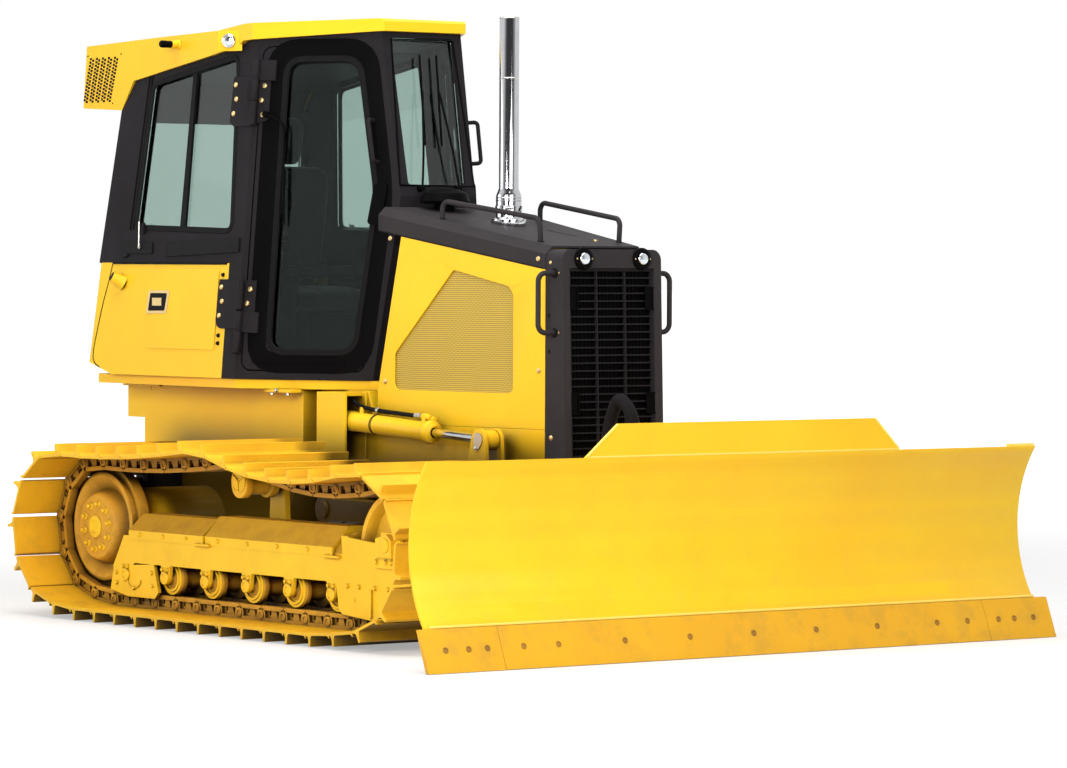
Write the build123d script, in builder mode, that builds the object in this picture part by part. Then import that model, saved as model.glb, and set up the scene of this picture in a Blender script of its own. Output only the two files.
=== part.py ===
"""Low-ground-pressure crawler dozer with an enclosed cab and a power-angle-tilt blade.

Millimetres. +X is forward, +Y is the machine's left, +Z is up. The ground is Z = 0 and the
origin lies on it, midway between the cutting edge and the rear of the roof unit.
Side views are drawn in elevation: a point (x, z) is dropped onto whichever plane carries it.
"""

import os
from math import atan2, cos, hypot, radians, sin, sqrt, tan

from build123d import *

os.makedirs("parts", exist_ok=True)

# ---------------------------------------------------------------- driving sizes
RUN_GAP = 0.3  # gap between curved faces that only lie close together
PIN_FIT = 0.08  # radial running clearance of a pin in its eye

# undercarriage
TRACK_Y = 937  # half the track gauge
SHOE_WIDTH = 634
SHOE_PLATE = 12
GROUSER = 44
GROUSER_TIP = 12
PIN_TO_SHOE = 29  # pin line to the shoe's inner face
PIN_TO_RAIL = 35  # pin line to the rail that the rollers run on
LINK_COUNT = 39
RAIL_INNER = 54  # link rails, from the track's centre plane
RAIL_OUTER = 90
SPROCKET_X, SPROCKET_Z, SPROCKET_PITCH_R = -1197, 393, 290
IDLER_X, IDLER_Z, IDLER_PITCH_R = 1026, 396, 286
CARRIER_X, CARRIER_R = -90, 60
ROLLER_X0, ROLLER_STEP, ROLLER_COUNT = -915, 308, 6
ROLLER_R, ROLLER_WAIST_R = 78, 48
SAG_FRONT, SAG_REAR = 82, 25
FRAME_HALF = 113  # track frame's half width
FRAME_SIDE = 16
FRAME_BOTTOM, FRAME_SHOULDER, FRAME_TOP = 251, 368, 440

# chassis
BELLY_Z = 340
BELLY_HALF = 250
REAR_BOX_HALF = 447
REAR_BOX_X = (-1693, -560)
REAR_BOX_TOP = 1006
PAD_Z, PAD_SPACING_Y, PAD_SPACING_Z, PAD_HOLE_R = 780, 500, 240, 10
FLOOR_Z = 1048
HOOD_REAR_X, HOOD_REAR_HALF = -20, 354
HOOD_FRONT_X, HOOD_FRONT_HALF = 1030, 262
RAIL_BOTTOM, RAIL_TOP = 560, 870
ENGINE_BAY_Z = 620

# hood and radiator guard
PANEL = 10  # sheet thickness of hood and screens
BAND_REAR_Z, BAND_FRONT_Z = 1695, 1535  # lower edge of the dark hood
CROWN_REAR_Z, CROWN_FRONT_Z = 1796, 1630
HOOD_CHAMFER = 34
GUARD_X = 1172  # front face at its foot
GUARD_LEAN = 1.7  # the face leans back, degrees
GUARD_BOTTOM, GUARD_HEIGHT = 470, 1146
GUARD_WALL = 14
GRILLE_SILL, GRILLE_HEIGHT, GRILLE_HALF = 30, 1038, 224
SLAT_STEP, SLAT = 32, 6
LAMP_Y, LAMP_R, LAMP_BEZEL = 154, 30, 14

# cab
CAB_SIDE_Y, CAB_BASE_Z = -624, 1064  # foot of the right-hand side
CAB_LEAN = 4.74  # sides lean inwards, degrees
DOOR_YAW = 29.0  # doors turn inwards towards the windscreen, degrees
POST_X = -713  # corner where side and door meet
CAB_WALL = 44
DOOR_WALL = 40
DOOR_GAP = 7
GLASS, PANE_DEPTH = 6, 14
CONSOLE_TOP = 1551
CONSOLE_WIDTH = 230
ROOF_HALF = 528
SCREEN_LOW = (-66, 1846)
SCREEN_HIGH = (-205, 2600)

# blade and its linkage
BLADE_X = 2089  # front of the cutting edge at the ground
EDGE_HALF = 1638
MOULD_HALF = 1589
MOULD_SKIN = 12
MOULD_LOW, MOULD_HIGH = (2002, 150), (2006, 800)
MOULD_DEPTH = 105
SPILL_TOP_X, SPILL_TOP_Z, SPILL_LOW_HALF, SPILL_TOP_HALF = 2022, 932, 822, 672
EDGE_TOP = (2024, 165)
EDGE_PLATE = 20
END_BIT_Y = 1267
PUSH_PIVOT = (-150, 500)
ARM_Y, ARM_WIDTH, ARM_DEPTH = 500, 90, 90
NOSE_X, NOSE_Z = 1480, 465
LIFT_Y = 416
LIFT_BASE = (-144, 878)
LIFT_EYE = (842, 825)
LIFT_BARREL_R, LIFT_ROD_R = 42, 20
ANGLE_Y, ANGLE_Z = 400, 627
ANGLE_BASE_X, ANGLE_EYE_X = 985, 1600
ANGLE_BARREL_R, ANGLE_ROD_R = 38, 18
TILT_X, TILT_Y, TILT_Z = 1700, 330, 720

pieces = {}


def side_plane(y):
    """Vertical plane across Y: its own x and y are the machine's X and Z, its normal is -Y."""
    return Plane(origin=(0, y, 0), x_dir=(1, 0, 0), z_dir=(0, -1, 0))


def cross_plane(x):
    """Vertical plane across X: its own x and y are the machine's Y and Z, its normal is +X."""
    return Plane(origin=(x, 0, 0), x_dir=(0, 1, 0), z_dir=(1, 0, 0))


def elevation(plane, *points):
    """Side-view points (x, z) dropped along Y onto a plane, in that plane's own coordinates."""
    n, o = plane.z_dir, plane.origin
    local = []
    for x, z in points:
        y = o.Y - (n.X * (x - o.X) + n.Z * (z - o.Z)) / n.Y
        p = plane.to_local_coords(Vector(x, y, z))
        local.append((p.X, p.Y))
    return local


def between(a, b, t):
    """The value a share t of the way from a to b."""
    return a + (b - a) * t


# ---------------------------------------------------------------- track line
def arc_points(cx, cz, r, start, end, steps):
    """Points on an arc about (cx, cz), angles in degrees."""
    angles = [radians(between(start, end, k / steps)) for k in range(steps + 1)]
    return [(cx + r * cos(a), cz + r * sin(a)) for a in angles]


def sag_points(a, b, sag, steps=12):
    """Points on a slack run from a to b, both ends left out."""
    run = []
    for k in range(1, steps):
        t = k / steps
        run.append((between(a[0], b[0], t), between(a[1], b[1], t) - 4 * sag * t * (1 - t)))
    return run


BOTTOM_PIN_Z = GROUSER + SHOE_PLATE + PIN_TO_SHOE
ROLLER_Z = BOTTOM_PIN_Z + PIN_TO_RAIL + ROLLER_R + RUN_GAP
ROLLERS = [ROLLER_X0 + ROLLER_STEP * k for k in range(ROLLER_COUNT)]
CARRIER_PIN_Z = 733


def pin_loop():
    """LINK_COUNT pins at equal steps round the track, clockwise seen from the right."""
    rear = arc_points(SPROCKET_X, SPROCKET_Z, SPROCKET_PITCH_R, 94, 266, 30)
    low = [(ROLLERS[0] - 170, BOTTOM_PIN_Z), (ROLLERS[-1] + 170, BOTTOM_PIN_Z)]
    front = arc_points(IDLER_X, IDLER_Z, IDLER_PITCH_R, 273, 450, 30)
    top = (CARRIER_X, CARRIER_PIN_Z)
    line = rear + low + front + sag_points(front[-1], top, SAG_FRONT) + [top]
    line += sag_points(top, rear[0], SAG_REAR) + [rear[0]]
    lengths = [hypot(b[0] - a[0], b[1] - a[1]) for a, b in zip(line, line[1:])]
    step = sum(lengths) / LINK_COUNT
    pins, walked, target = [], 0.0, step / 2
    for (a, b), length in zip(zip(line, line[1:]), lengths):
        while target <= walked + length and len(pins) < LINK_COUNT:
            t = (target - walked) / length
            pins.append((between(a[0], b[0], t), between(a[1], b[1], t)))
            target += step
        walked += length
    return pins, step


PINS, PITCH = pin_loop()


def rail_room(x, z):
    """Largest radius that fits inside the link rails round the side-view point (x, z)."""
    nearest = []
    for (ax, az), (bx, bz) in zip(PINS, PINS[1:] + PINS[:1]):
        length = hypot(bx - ax, bz - az)
        along = ((x - ax) * (bx - ax) + (z - az) * (bz - az)) / length
        along = min(max(along, 0), length)
        nearest.append(hypot(ax + (bx - ax) * along / length - x, az + (bz - az) * along / length - z))
    return min(nearest) - PIN_TO_RAIL - RUN_GAP


CARRIER_Z = CARRIER_PIN_Z - PIN_TO_RAIL - CARRIER_R
CARRIER_Z += rail_room(CARRIER_X, CARRIER_Z) - CARRIER_R


def loop_outline(stations):
    """Closed outline round the track. Each station is (share of the link, height off the pin line)."""
    outline = []
    for k, (ax, az) in enumerate(PINS):
        bx, bz = PINS[(k + 1) % LINK_COUNT]
        length = hypot(bx - ax, bz - az)
        tx, tz = (bx - ax) / length, (bz - az) / length
        nx, nz = tz, -tx  # away from the loop's inside, which lies to the left of travel
        for share, height in stations:
            outline.append((ax + tx * length * share + nx * height, az + tz * length * share + nz * height))
    return outline


SHOE_OUT = PIN_TO_SHOE + SHOE_PLATE
SHOE_STATIONS = [
    (0.10, SHOE_OUT),
    (0.12, SHOE_OUT + GROUSER),
    (0.12 + GROUSER_TIP / PITCH, SHOE_OUT + GROUSER),
    (0.24, SHOE_OUT),
]
RAIL_STATIONS = [(0.0, -PIN_TO_RAIL + 9), (0.14, -PIN_TO_RAIL), (0.86, -PIN_TO_RAIL)]


def closed_face(points, bend=None, mode=Mode.ADD):
    """Adds the face inside a closed outline to the sketch being built, its corners rounded by bend."""
    with BuildLine() as outline:
        if bend is None:
            Polyline(*points, close=True)
        else:
            FilletPolyline(*points, radius=bend, close=True)
    make_face(outline.edges(), mode=mode)


with BuildPart() as track_right:
    with BuildSketch(side_plane(-TRACK_Y)):
        closed_face(loop_outline(SHOE_STATIONS))
        closed_face(loop_outline([(0.0, PIN_TO_SHOE)]), mode=Mode.SUBTRACT)
    extrude(amount=SHOE_WIDTH / 2, both=True)
    for near in (RAIL_INNER, -RAIL_OUTER):
        with BuildSketch(side_plane(-TRACK_Y - near)):
            closed_face(loop_outline([(0.0, PIN_TO_SHOE + SHOE_PLATE / 2)]))
            closed_face(loop_outline(RAIL_STATIONS), mode=Mode.SUBTRACT)
        extrude(amount=RAIL_OUTER - RAIL_INNER)
pieces["track_right"] = track_right

with BuildPart() as track_left:
    mirror(track_right.part, about=Plane.XZ)
pieces["track_left"] = track_left

# ---------------------------------------------------------------- wheels in the track
IDLER_TREAD_R = rail_room(IDLER_X, IDLER_Z)
SPROCKET_RIM_R = rail_room(SPROCKET_X, SPROCKET_Z) - 4
TOOTH_COUNT = 22
TOOTH_ROOT_R, TOOTH_RISE, TOOTH_HALF = 262, 34, 24
HUB_FACE, HUB_INNER = 84, 60  # sprocket hub's outer and inner faces, from the track's centre plane

with BuildPart() as idler_wheel:
    with BuildSketch(Plane.XY):
        with BuildLine():
            Polyline(
                (0, -FRAME_HALF + FRAME_SIDE),
                (36, -FRAME_HALF + FRAME_SIDE),
                (36, -88),
                (70, -88),
                (80, -46),
                (IDLER_TREAD_R - 40, -40),
                (IDLER_TREAD_R - 22, -86),
                (IDLER_TREAD_R, -86),
                (IDLER_TREAD_R, -26),
                (IDLER_TREAD_R + 22, -20),
                (IDLER_TREAD_R + 22, 20),
                (IDLER_TREAD_R, 26),
                (IDLER_TREAD_R, 86),
                (IDLER_TREAD_R - 22, 86),
                (IDLER_TREAD_R - 40, 40),
                (80, 46),
                (70, 88),
                (36, 88),
                (36, FRAME_HALF - FRAME_SIDE),
                (0, FRAME_HALF - FRAME_SIDE),
                close=True,
            )
        make_face()
    revolve(axis=Axis.Y)

with BuildPart() as idlers:
    for side in (-1, 1):
        with Locations((IDLER_X, side * TRACK_Y, IDLER_Z)):
            add(idler_wheel.part)
pieces["idlers"] = idlers

with BuildPart() as sprocket_wheel:
    with BuildSketch(side_plane(TOOTH_HALF)):
        Circle(TOOTH_ROOT_R)
        with PolarLocations(TOOTH_ROOT_R - 4, TOOTH_COUNT):
            with BuildLine():
                Polyline((-4, -24), (TOOTH_RISE, -9), (TOOTH_RISE, 9), (-4, 24), close=True)
            make_face()
        Circle(SPROCKET_RIM_R - 26, mode=Mode.SUBTRACT)
    extrude(amount=2 * TOOTH_HALF)
    with BuildSketch(Plane.XY):
        with BuildLine():
            Polyline(
                (0, HUB_INNER),
                (120, HUB_INNER),
                (150, 20),
                (SPROCKET_RIM_R - 30, TOOTH_HALF),
                (SPROCKET_RIM_R - 8, TOOTH_HALF - 6),
                (SPROCKET_RIM_R, -TOOTH_HALF - 28),
                (SPROCKET_RIM_R - 16, -TOOTH_HALF - 34),
                (SPROCKET_RIM_R - 34, -TOOTH_HALF - 20),
                (168, -18),
                (146, -HUB_FACE + 8),
                (138, -HUB_FACE),
                (60, -HUB_FACE),
                (52, -HUB_FACE - 7),
                (0, -HUB_FACE - 7),
                close=True,
            )
        make_face()
    revolve(axis=Axis.Y)

with BuildPart() as sprockets:
    with Locations((SPROCKET_X, -TRACK_Y, SPROCKET_Z)):
        add(sprocket_wheel.part)
    mirror(about=Plane.XZ)
pieces["sprockets"] = sprockets

# lower rollers and carrier rollers: flanged drums on a shaft with end collars
with BuildPart() as roller_drum:
    with BuildSketch(Plane.XY):
        with BuildLine():
            Polyline(
                (0, -FRAME_HALF + FRAME_SIDE),
                (26, -FRAME_HALF + FRAME_SIDE),
                (30, -84),
                (46, -78),
                (ROLLER_R - 4, -74),
                (ROLLER_R, -70),
                (ROLLER_R, -50),
                (ROLLER_WAIST_R, -44),
                (ROLLER_WAIST_R, 44),
                (ROLLER_R, 50),
                (ROLLER_R, 70),
                (ROLLER_R - 4, 74),
                (46, 78),
                (30, 84),
                (26, FRAME_HALF - FRAME_SIDE),
                (0, FRAME_HALF - FRAME_SIDE),
                close=True,
            )
        make_face()
    revolve(axis=Axis.Y)

with BuildPart() as carrier_drum:
    with BuildSketch(Plane.XY):
        with BuildLine():
            Polyline(
                (0, -86),
                (50, -86),
                (CARRIER_R - 2, -84),
                (CARRIER_R - 2, -50),
                (44, -46),
                (44, 46),
                (CARRIER_R - 2, 50),
                (CARRIER_R - 2, 84),
                (34, 86),
                (34, 140),
                (0, 140),
                close=True,
            )
        make_face()
    revolve(axis=Axis.Y)

with BuildPart() as track_rollers:
    for x in ROLLERS:
        with Locations((x, -TRACK_Y, ROLLER_Z)):
            add(roller_drum.part)
    mirror(about=Plane.XZ)
pieces["track_rollers"] = track_rollers

with BuildPart() as carrier_rollers:
    with Locations((CARRIER_X, -TRACK_Y, CARRIER_Z)):
        add(carrier_drum.part)
    mirror(about=Plane.XZ)
pieces["carrier_rollers"] = carrier_rollers

# ---------------------------------------------------------------- track frames
FRAME_REAR_X, FRAME_FORK_X, FRAME_FRONT_X = -890, 720, 1231
COVERS = ((FRAME_REAR_X, -318, 462), (-300, 640, 476))  # rear x, front x, height of the top
RECOIL_Z = 408
IDLER_BLOCK_Z = 470

with BuildPart() as track_frame_right:
    # inverted channel over the rollers, sloping on its outer side
    with BuildSketch(cross_plane(FRAME_REAR_X)):
        closed_face(
            [
                (-TRACK_Y - FRAME_HALF, FRAME_SHOULDER),
                (-TRACK_Y - 52, FRAME_TOP),
                (-TRACK_Y + 60, FRAME_TOP),
                (-TRACK_Y + FRAME_HALF, FRAME_SHOULDER),
                (-TRACK_Y + FRAME_HALF, FRAME_BOTTOM),
                (-TRACK_Y + FRAME_HALF - FRAME_SIDE, FRAME_BOTTOM),
                (-TRACK_Y + FRAME_HALF - FRAME_SIDE, ROLLER_Z + ROLLER_R + 10),
                (-TRACK_Y - FRAME_HALF + FRAME_SIDE, ROLLER_Z + ROLLER_R + 10),
                (-TRACK_Y - FRAME_HALF + FRAME_SIDE, FRAME_BOTTOM),
                (-TRACK_Y - FRAME_HALF, FRAME_BOTTOM),
            ]
        )
    extrude(amount=FRAME_FORK_X - FRAME_REAR_X)
    # outer and inner side plates, run past the sprocket and forked round the idler
    plates = (
        (-TRACK_Y - FRAME_HALF + FRAME_SIDE, -1022, -935),
        (-TRACK_Y + FRAME_HALF, FRAME_REAR_X, FRAME_REAR_X),
    )
    for y, low_x, high_x in plates:
        with BuildSketch(side_plane(y)):
            closed_face(
                [
                    (low_x, FRAME_BOTTOM - 24),
                    (high_x, FRAME_SHOULDER),
                    (FRAME_FRONT_X, FRAME_SHOULDER),
                    (FRAME_FRONT_X - 67, FRAME_BOTTOM),
                    (low_x + 170, FRAME_BOTTOM),
                    (low_x + 150, FRAME_BOTTOM - 24),
                ]
            )
        extrude(amount=FRAME_SIDE)
    # rear and front guards below the side plate
    for y in (-TRACK_Y - FRAME_HALF + FRAME_SIDE, -TRACK_Y + FRAME_HALF):
        with BuildSketch(side_plane(y)):
            closed_face([(-1040, 128), (-1012, 232), (-700, 252), (-662, 132), (-690, 104), (-900, 104)])
            closed_face([(655, 252), (1164, 252), (1052, 126), (990, 100), (700, 122), (676, 140)])
        extrude(amount=FRAME_SIDE)
    # hangers that hold the roller shafts
    for y in (-TRACK_Y - FRAME_HALF + FRAME_SIDE, -TRACK_Y + FRAME_HALF):
        with BuildSketch(side_plane(y)):
            for x in ROLLERS:
                with Locations((x, ROLLER_Z)):
                    Circle(30)
                top = FRAME_BOTTOM + 4
                closed_face([(x - 30, ROLLER_Z), (x - 36, top), (x + 36, top), (x + 30, ROLLER_Z)])
        extrude(amount=FRAME_SIDE)
    # sloped covers on top of the channel
    for rear_x, front_x, rise in COVERS:
        with BuildSketch(cross_plane(rear_x)):
            closed_face(
                [
                    (-TRACK_Y - FRAME_HALF - 4, FRAME_SHOULDER - 16),
                    (-TRACK_Y - FRAME_HALF - 4, FRAME_SHOULDER + 24),
                    (-TRACK_Y - 40, rise),
                    (-TRACK_Y + 60, rise),
                    (-TRACK_Y + FRAME_HALF, FRAME_SHOULDER + 24),
                    (-TRACK_Y + FRAME_HALF, FRAME_SHOULDER - 16),
                ]
            )
        extrude(amount=front_x - rear_x)
    # recoil rod with its collar, and the crosshead and arms that carry the idler
    for low_x, high_x, radius in ((COVERS[1][1], 676, 46), (676, 712, 34)):
        with BuildSketch(cross_plane(low_x)):
            with Locations((-TRACK_Y, RECOIL_Z)):
                Circle(radius)
        extrude(amount=high_x - low_x)
    with BuildSketch(side_plane(-TRACK_Y + FRAME_HALF)):
        top = RECOIL_Z + 34
        closed_face([(700, FRAME_SHOULDER), (690, top), (736, top), (736, FRAME_SHOULDER)])
    extrude(amount=2 * FRAME_HALF)
    for y in (-TRACK_Y - FRAME_HALF + FRAME_SIDE, -TRACK_Y + FRAME_HALF):
        with BuildSketch(side_plane(y)):
            closed_face(
                [
                    (700, FRAME_SHOULDER),
                    (700, RECOIL_Z + 34),
                    (780, RECOIL_Z + 26),
                    (IDLER_X - 64, RECOIL_Z + 12),
                    (IDLER_X - 64, FRAME_SHOULDER),
                ]
            )
        extrude(amount=FRAME_SIDE)
    # collars that carry the idler shaft, and the carrier roller's bracket
    for y in (-TRACK_Y - FRAME_HALF + FRAME_SIDE, -TRACK_Y + FRAME_HALF):
        with BuildSketch(side_plane(y)):
            closed_face(
                [
                    (IDLER_X - 70, FRAME_SHOULDER),
                    (IDLER_X - 60, IDLER_BLOCK_Z),
                    (IDLER_X + 60, IDLER_BLOCK_Z),
                    (IDLER_X + 90, FRAME_SHOULDER),
                ]
            )
        extrude(amount=FRAME_SIDE)
    # shaft block on its foot, outside the collar
    with BuildSketch(side_plane(-TRACK_Y - FRAME_HALF)):
        closed_face(
            [
                (IDLER_X - 64, FRAME_SHOULDER),
                (IDLER_X - 64, IDLER_BLOCK_Z - 26),
                (IDLER_X + 10, IDLER_BLOCK_Z - 6),
                (IDLER_X + 44, IDLER_BLOCK_Z - 30),
                (IDLER_X + 44, FRAME_SHOULDER),
            ]
        )
    extrude(amount=26)
    with BuildSketch(side_plane(-TRACK_Y - FRAME_HALF)):
        closed_face(
            [
                (IDLER_X - 96, FRAME_SHOULDER - 44),
                (IDLER_X - 96, FRAME_SHOULDER + 10),
                (IDLER_X + 56, FRAME_SHOULDER + 10),
                (IDLER_X + 56, FRAME_SHOULDER - 44),
            ]
        )
    extrude(amount=12)
    with BuildSketch(side_plane(-TRACK_Y + FRAME_HALF + 26)):
        closed_face(
            [
                (CARRIER_X - 70, FRAME_BOTTOM + 50),
                (CARRIER_X - 50, CARRIER_Z),
                (CARRIER_X + 50, CARRIER_Z),
                (CARRIER_X + 70, FRAME_BOTTOM + 50),
            ]
        )
        with Locations((CARRIER_X, CARRIER_Z)):
            Circle(50)
    extrude(amount=26)
    # seat of the carrier roller's shaft
    with Locations((CARRIER_X, -TRACK_Y + 140 - 13, CARRIER_Z)):
        Cylinder(34 + RUN_GAP, 30, rotation=(90, 0, 0), mode=Mode.SUBTRACT)
pieces["track_frame_right"] = track_frame_right

with BuildPart() as track_frame_left:
    mirror(track_frame_right.part, about=Plane.XZ)
pieces["track_frame_left"] = track_frame_left

# ---------------------------------------------------------------- main frame
EAR = 16
LIFT_PIN_R = 24
TOWER_HALF = 64
MEMBER_WIDTH, MEMBER_DEPTH = 120, 56

with BuildPart() as rear_case:
    with BuildSketch(side_plane(REAR_BOX_HALF)):
        x0, x1 = REAR_BOX_X
        closed_face(
            [
                (x0, 620),
                (x0 + 60, 430),
                (x1, 430),
                (x1 + 120, 700),
                (x1 + 120, REAR_BOX_TOP),
                (x0, REAR_BOX_TOP),
            ]
        )
    extrude(amount=2 * REAR_BOX_HALF)
    for side in (-1, 1):
        # final drive housing out to the sprocket
        with Locations((SPROCKET_X, side * (REAR_BOX_HALF - 10 + TRACK_Y - HUB_INNER) / 2, SPROCKET_Z)):
            Cylinder(165, TRACK_Y - HUB_INNER - REAR_BOX_HALF + 10, rotation=(90, 0, 0))
        # corner brackets under the cab's tail
        with Locations((-1704, side * 380, (850 + REAR_BOX_TOP) / 2)):
            Box(256, 134, REAR_BOX_TOP - 850)
    # drawbar clevis
    with BuildSketch(Plane.XY.offset(470)):
        with Locations((-1700, 0)):
            Rectangle(260, 130)
        with Locations((-1830, 0)):
            Circle(65)
    extrude(amount=120)
    with Locations((-1810, 0, 530)):
        Box(180, 140, 56, mode=Mode.SUBTRACT)
    with Locations((-1835, 0, 530)):
        Cylinder(19, 200, mode=Mode.SUBTRACT)
    # bolt holes of the pad on the rear face
    for y in (-PAD_SPACING_Y / 2, PAD_SPACING_Y / 2):
        for z in (PAD_Z - PAD_SPACING_Z / 2, PAD_Z + PAD_SPACING_Z / 2):
            with Locations((REAR_BOX_X[0] + 20, y, z)):
                Cylinder(PAD_HOLE_R, 40, rotation=(0, 90, 0), mode=Mode.SUBTRACT)
pieces["rear_case"] = rear_case

with BuildPart() as frame_rails:
    # side rails that the hood stands on, tapering forwards
    with BuildSketch(Plane.XY.offset(RAIL_BOTTOM)):
        closed_face(
            [
                (REAR_BOX_X[1], -HOOD_REAR_HALF),
                (HOOD_REAR_X, -HOOD_REAR_HALF),
                (HOOD_FRONT_X, -HOOD_FRONT_HALF),
                (HOOD_FRONT_X, HOOD_FRONT_HALF),
                (HOOD_REAR_X, HOOD_REAR_HALF),
                (REAR_BOX_X[1], HOOD_REAR_HALF),
            ]
        )
    extrude(amount=RAIL_TOP - RAIL_BOTTOM)
    # engine bay left open between the rails
    with BuildSketch(Plane.XY.offset(ENGINE_BAY_Z)):
        with Locations((480, 0)):
            Rectangle(980, 420)
    extrude(amount=400, mode=Mode.SUBTRACT)
    # support of the cab's front edge
    with BuildSketch(side_plane(HOOD_REAR_HALF)):
        closed_face(
            [
                (REAR_BOX_X[1], RAIL_TOP),
                (-40, RAIL_TOP),
                (-90, REAR_BOX_TOP),
                (REAR_BOX_X[1], REAR_BOX_TOP),
            ]
        )
    extrude(amount=2 * HOOD_REAR_HALF)
    add(rear_case.part, mode=Mode.SUBTRACT)
pieces["frame_rails"] = frame_rails

with BuildPart() as main_frame:
    # belly tub from the rear box to the nose
    with BuildSketch(side_plane(BELLY_HALF)):
        closed_face(
            [
                (-1650, 430),
                (-1560, BELLY_Z),
                (860, BELLY_Z),
                (1000, 430),
                (1000, RAIL_BOTTOM),
                (-1650, RAIL_BOTTOM),
            ]
        )
    extrude(amount=2 * BELLY_HALF)
    add(rear_case.part, mode=Mode.SUBTRACT)
pieces["main_frame"] = main_frame

with BuildPart() as cross_members:
    for x in (-460, 380):
        with Locations((x, 0, BELLY_Z - MEMBER_DEPTH / 2)):
            Box(MEMBER_WIDTH, 2 * (TRACK_Y - FRAME_HALF), MEMBER_DEPTH)
pieces["cross_members"] = cross_members

with BuildPart() as push_pivots:
    for side in (-1, 1):
        with Locations((PUSH_PIVOT[0], side * (BELLY_HALF + ARM_Y - 48) / 2, PUSH_PIVOT[1])):
            Cylinder(66, ARM_Y - 48 - BELLY_HALF, rotation=(90, 0, 0))
        with Locations((PUSH_PIVOT[0], side * 500, PUSH_PIVOT[1])):
            Cylinder(38, 120, rotation=(90, 0, 0))
    add(frame_rails.part, mode=Mode.SUBTRACT)
pieces["push_pivots"] = push_pivots

with BuildPart() as lift_towers:
    for side in (-1, 1):
        # two ears on a back plate, under a cap
        for y in (LIFT_Y + TOWER_HALF - EAR / 2, LIFT_Y - TOWER_HALF + EAR / 2):
            with Locations((-190, side * y, 850)):
                Box(200, EAR, 300)
        with Locations((-284, side * LIFT_Y, 850)):
            Box(20, 2 * TOWER_HALF, 300)
        with Locations((-200, side * LIFT_Y, 992)):
            Box(180, 2 * TOWER_HALF, 16)
        with Locations((LIFT_BASE[0], side * LIFT_Y, LIFT_BASE[1])):
            Cylinder(LIFT_PIN_R, 2 * TOWER_HALF, rotation=(90, 0, 0))
    add(frame_rails.part, mode=Mode.SUBTRACT)
pieces["lift_towers"] = lift_towers

with BuildPart() as cab_platform:
    with BuildSketch(Plane.XY.offset(REAR_BOX_TOP)):
        closed_face(
            [
                (-1860, -590),
                (POST_X - 8, -612),
                (-150, -306),
                (-90, -290),
                (-90, 290),
                (-150, 306),
                (POST_X - 8, 612),
                (-1860, 590),
            ]
        )
    extrude(amount=FLOOR_Z - REAR_BOX_TOP)
pieces["cab_platform"] = cab_platform

# ---------------------------------------------------------------- engine, hood, radiator
CORE_X, CORE_DEPTH = HOOD_FRONT_X + 40, 60
with BuildPart() as engine:
    with Locations((470, 0, (ENGINE_BAY_Z + 1455) / 2)):
        Box(760, 380, 1455 - ENGINE_BAY_Z)
    with Locations((CORE_X, 0, 1000)):
        Box(CORE_DEPTH, 420, 960)
    with Locations(((850 + CORE_X) / 2, 0, 1000)):
        Box(CORE_X - 850, 120, 200)
pieces["engine"] = engine

taper = atan2(HOOD_REAR_HALF - HOOD_FRONT_HALF, HOOD_FRONT_X - HOOD_REAR_X)
panel_plane = Plane(
    origin=(HOOD_REAR_X, -HOOD_REAR_HALF, 0),
    x_dir=(cos(taper), sin(taper), 0),
    z_dir=(sin(taper), -cos(taper), 0),
)


def band_z(x):
    """Height of the seam between side panel and dark hood at x."""
    return between(BAND_REAR_Z, BAND_FRONT_Z, (x - HOOD_REAR_X) / (HOOD_FRONT_X - HOOD_REAR_X))


SCREEN_OUTLINE = [(461, 1528), (800, 1462), (832, 1430), (832, 1016), (90, 1016), (90, 1170)]
PANEL_OUTLINE = [
    (HOOD_REAR_X, RAIL_TOP),
    (HOOD_FRONT_X, RAIL_TOP),
    (HOOD_FRONT_X, BAND_FRONT_Z),
    (128, band_z(128)),
    (HOOD_REAR_X, 1010),
]

with BuildPart() as hood_sides:
    with BuildSketch(panel_plane):
        closed_face(elevation(panel_plane, *PANEL_OUTLINE))
        closed_face(elevation(panel_plane, *SCREEN_OUTLINE), bend=30, mode=Mode.SUBTRACT)
    extrude(amount=-PANEL)
    mirror(about=Plane.XZ)
pieces["hood_sides"] = hood_sides

with BuildPart() as side_screens:
    with BuildSketch(panel_plane.offset(-PANEL)):
        closed_face(elevation(panel_plane, *SCREEN_OUTLINE))
        offset(amount=14, kind=Kind.INTERSECTION, mode=Mode.REPLACE)
    extrude(amount=-3)
    mirror(about=Plane.XZ)
pieces["side_screens"] = side_screens


def hood_section(half, low, crown):
    """Adds one cross-section of the hood, flat on top with chamfered shoulders."""
    closed_face(
        [
            (-half, low),
            (-half, crown - HOOD_CHAMFER),
            (-half + HOOD_CHAMFER, crown),
            (half - HOOD_CHAMFER, crown),
            (half, crown - HOOD_CHAMFER),
            (half, low),
        ]
    )


with BuildPart() as hood_body:
    with BuildSketch(cross_plane(HOOD_REAR_X)):
        hood_section(HOOD_REAR_HALF, BAND_REAR_Z, CROWN_REAR_Z)
    with BuildSketch(cross_plane(HOOD_FRONT_X)):
        hood_section(HOOD_FRONT_HALF, BAND_FRONT_Z, CROWN_FRONT_Z)
    loft()

with BuildPart() as hood_hollow:
    with BuildSketch(cross_plane(HOOD_REAR_X - 1)):
        hood_section(HOOD_REAR_HALF - PANEL, BAND_REAR_Z - 60, CROWN_REAR_Z - PANEL)
    with BuildSketch(cross_plane(HOOD_FRONT_X + 1)):
        hood_section(HOOD_FRONT_HALF - PANEL, BAND_FRONT_Z - 60, CROWN_FRONT_Z - PANEL)
    loft()

with BuildPart() as hood_top:
    add(hood_body.part)
    add(hood_hollow.part, mode=Mode.SUBTRACT)
pieces["hood_top"] = hood_top

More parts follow.
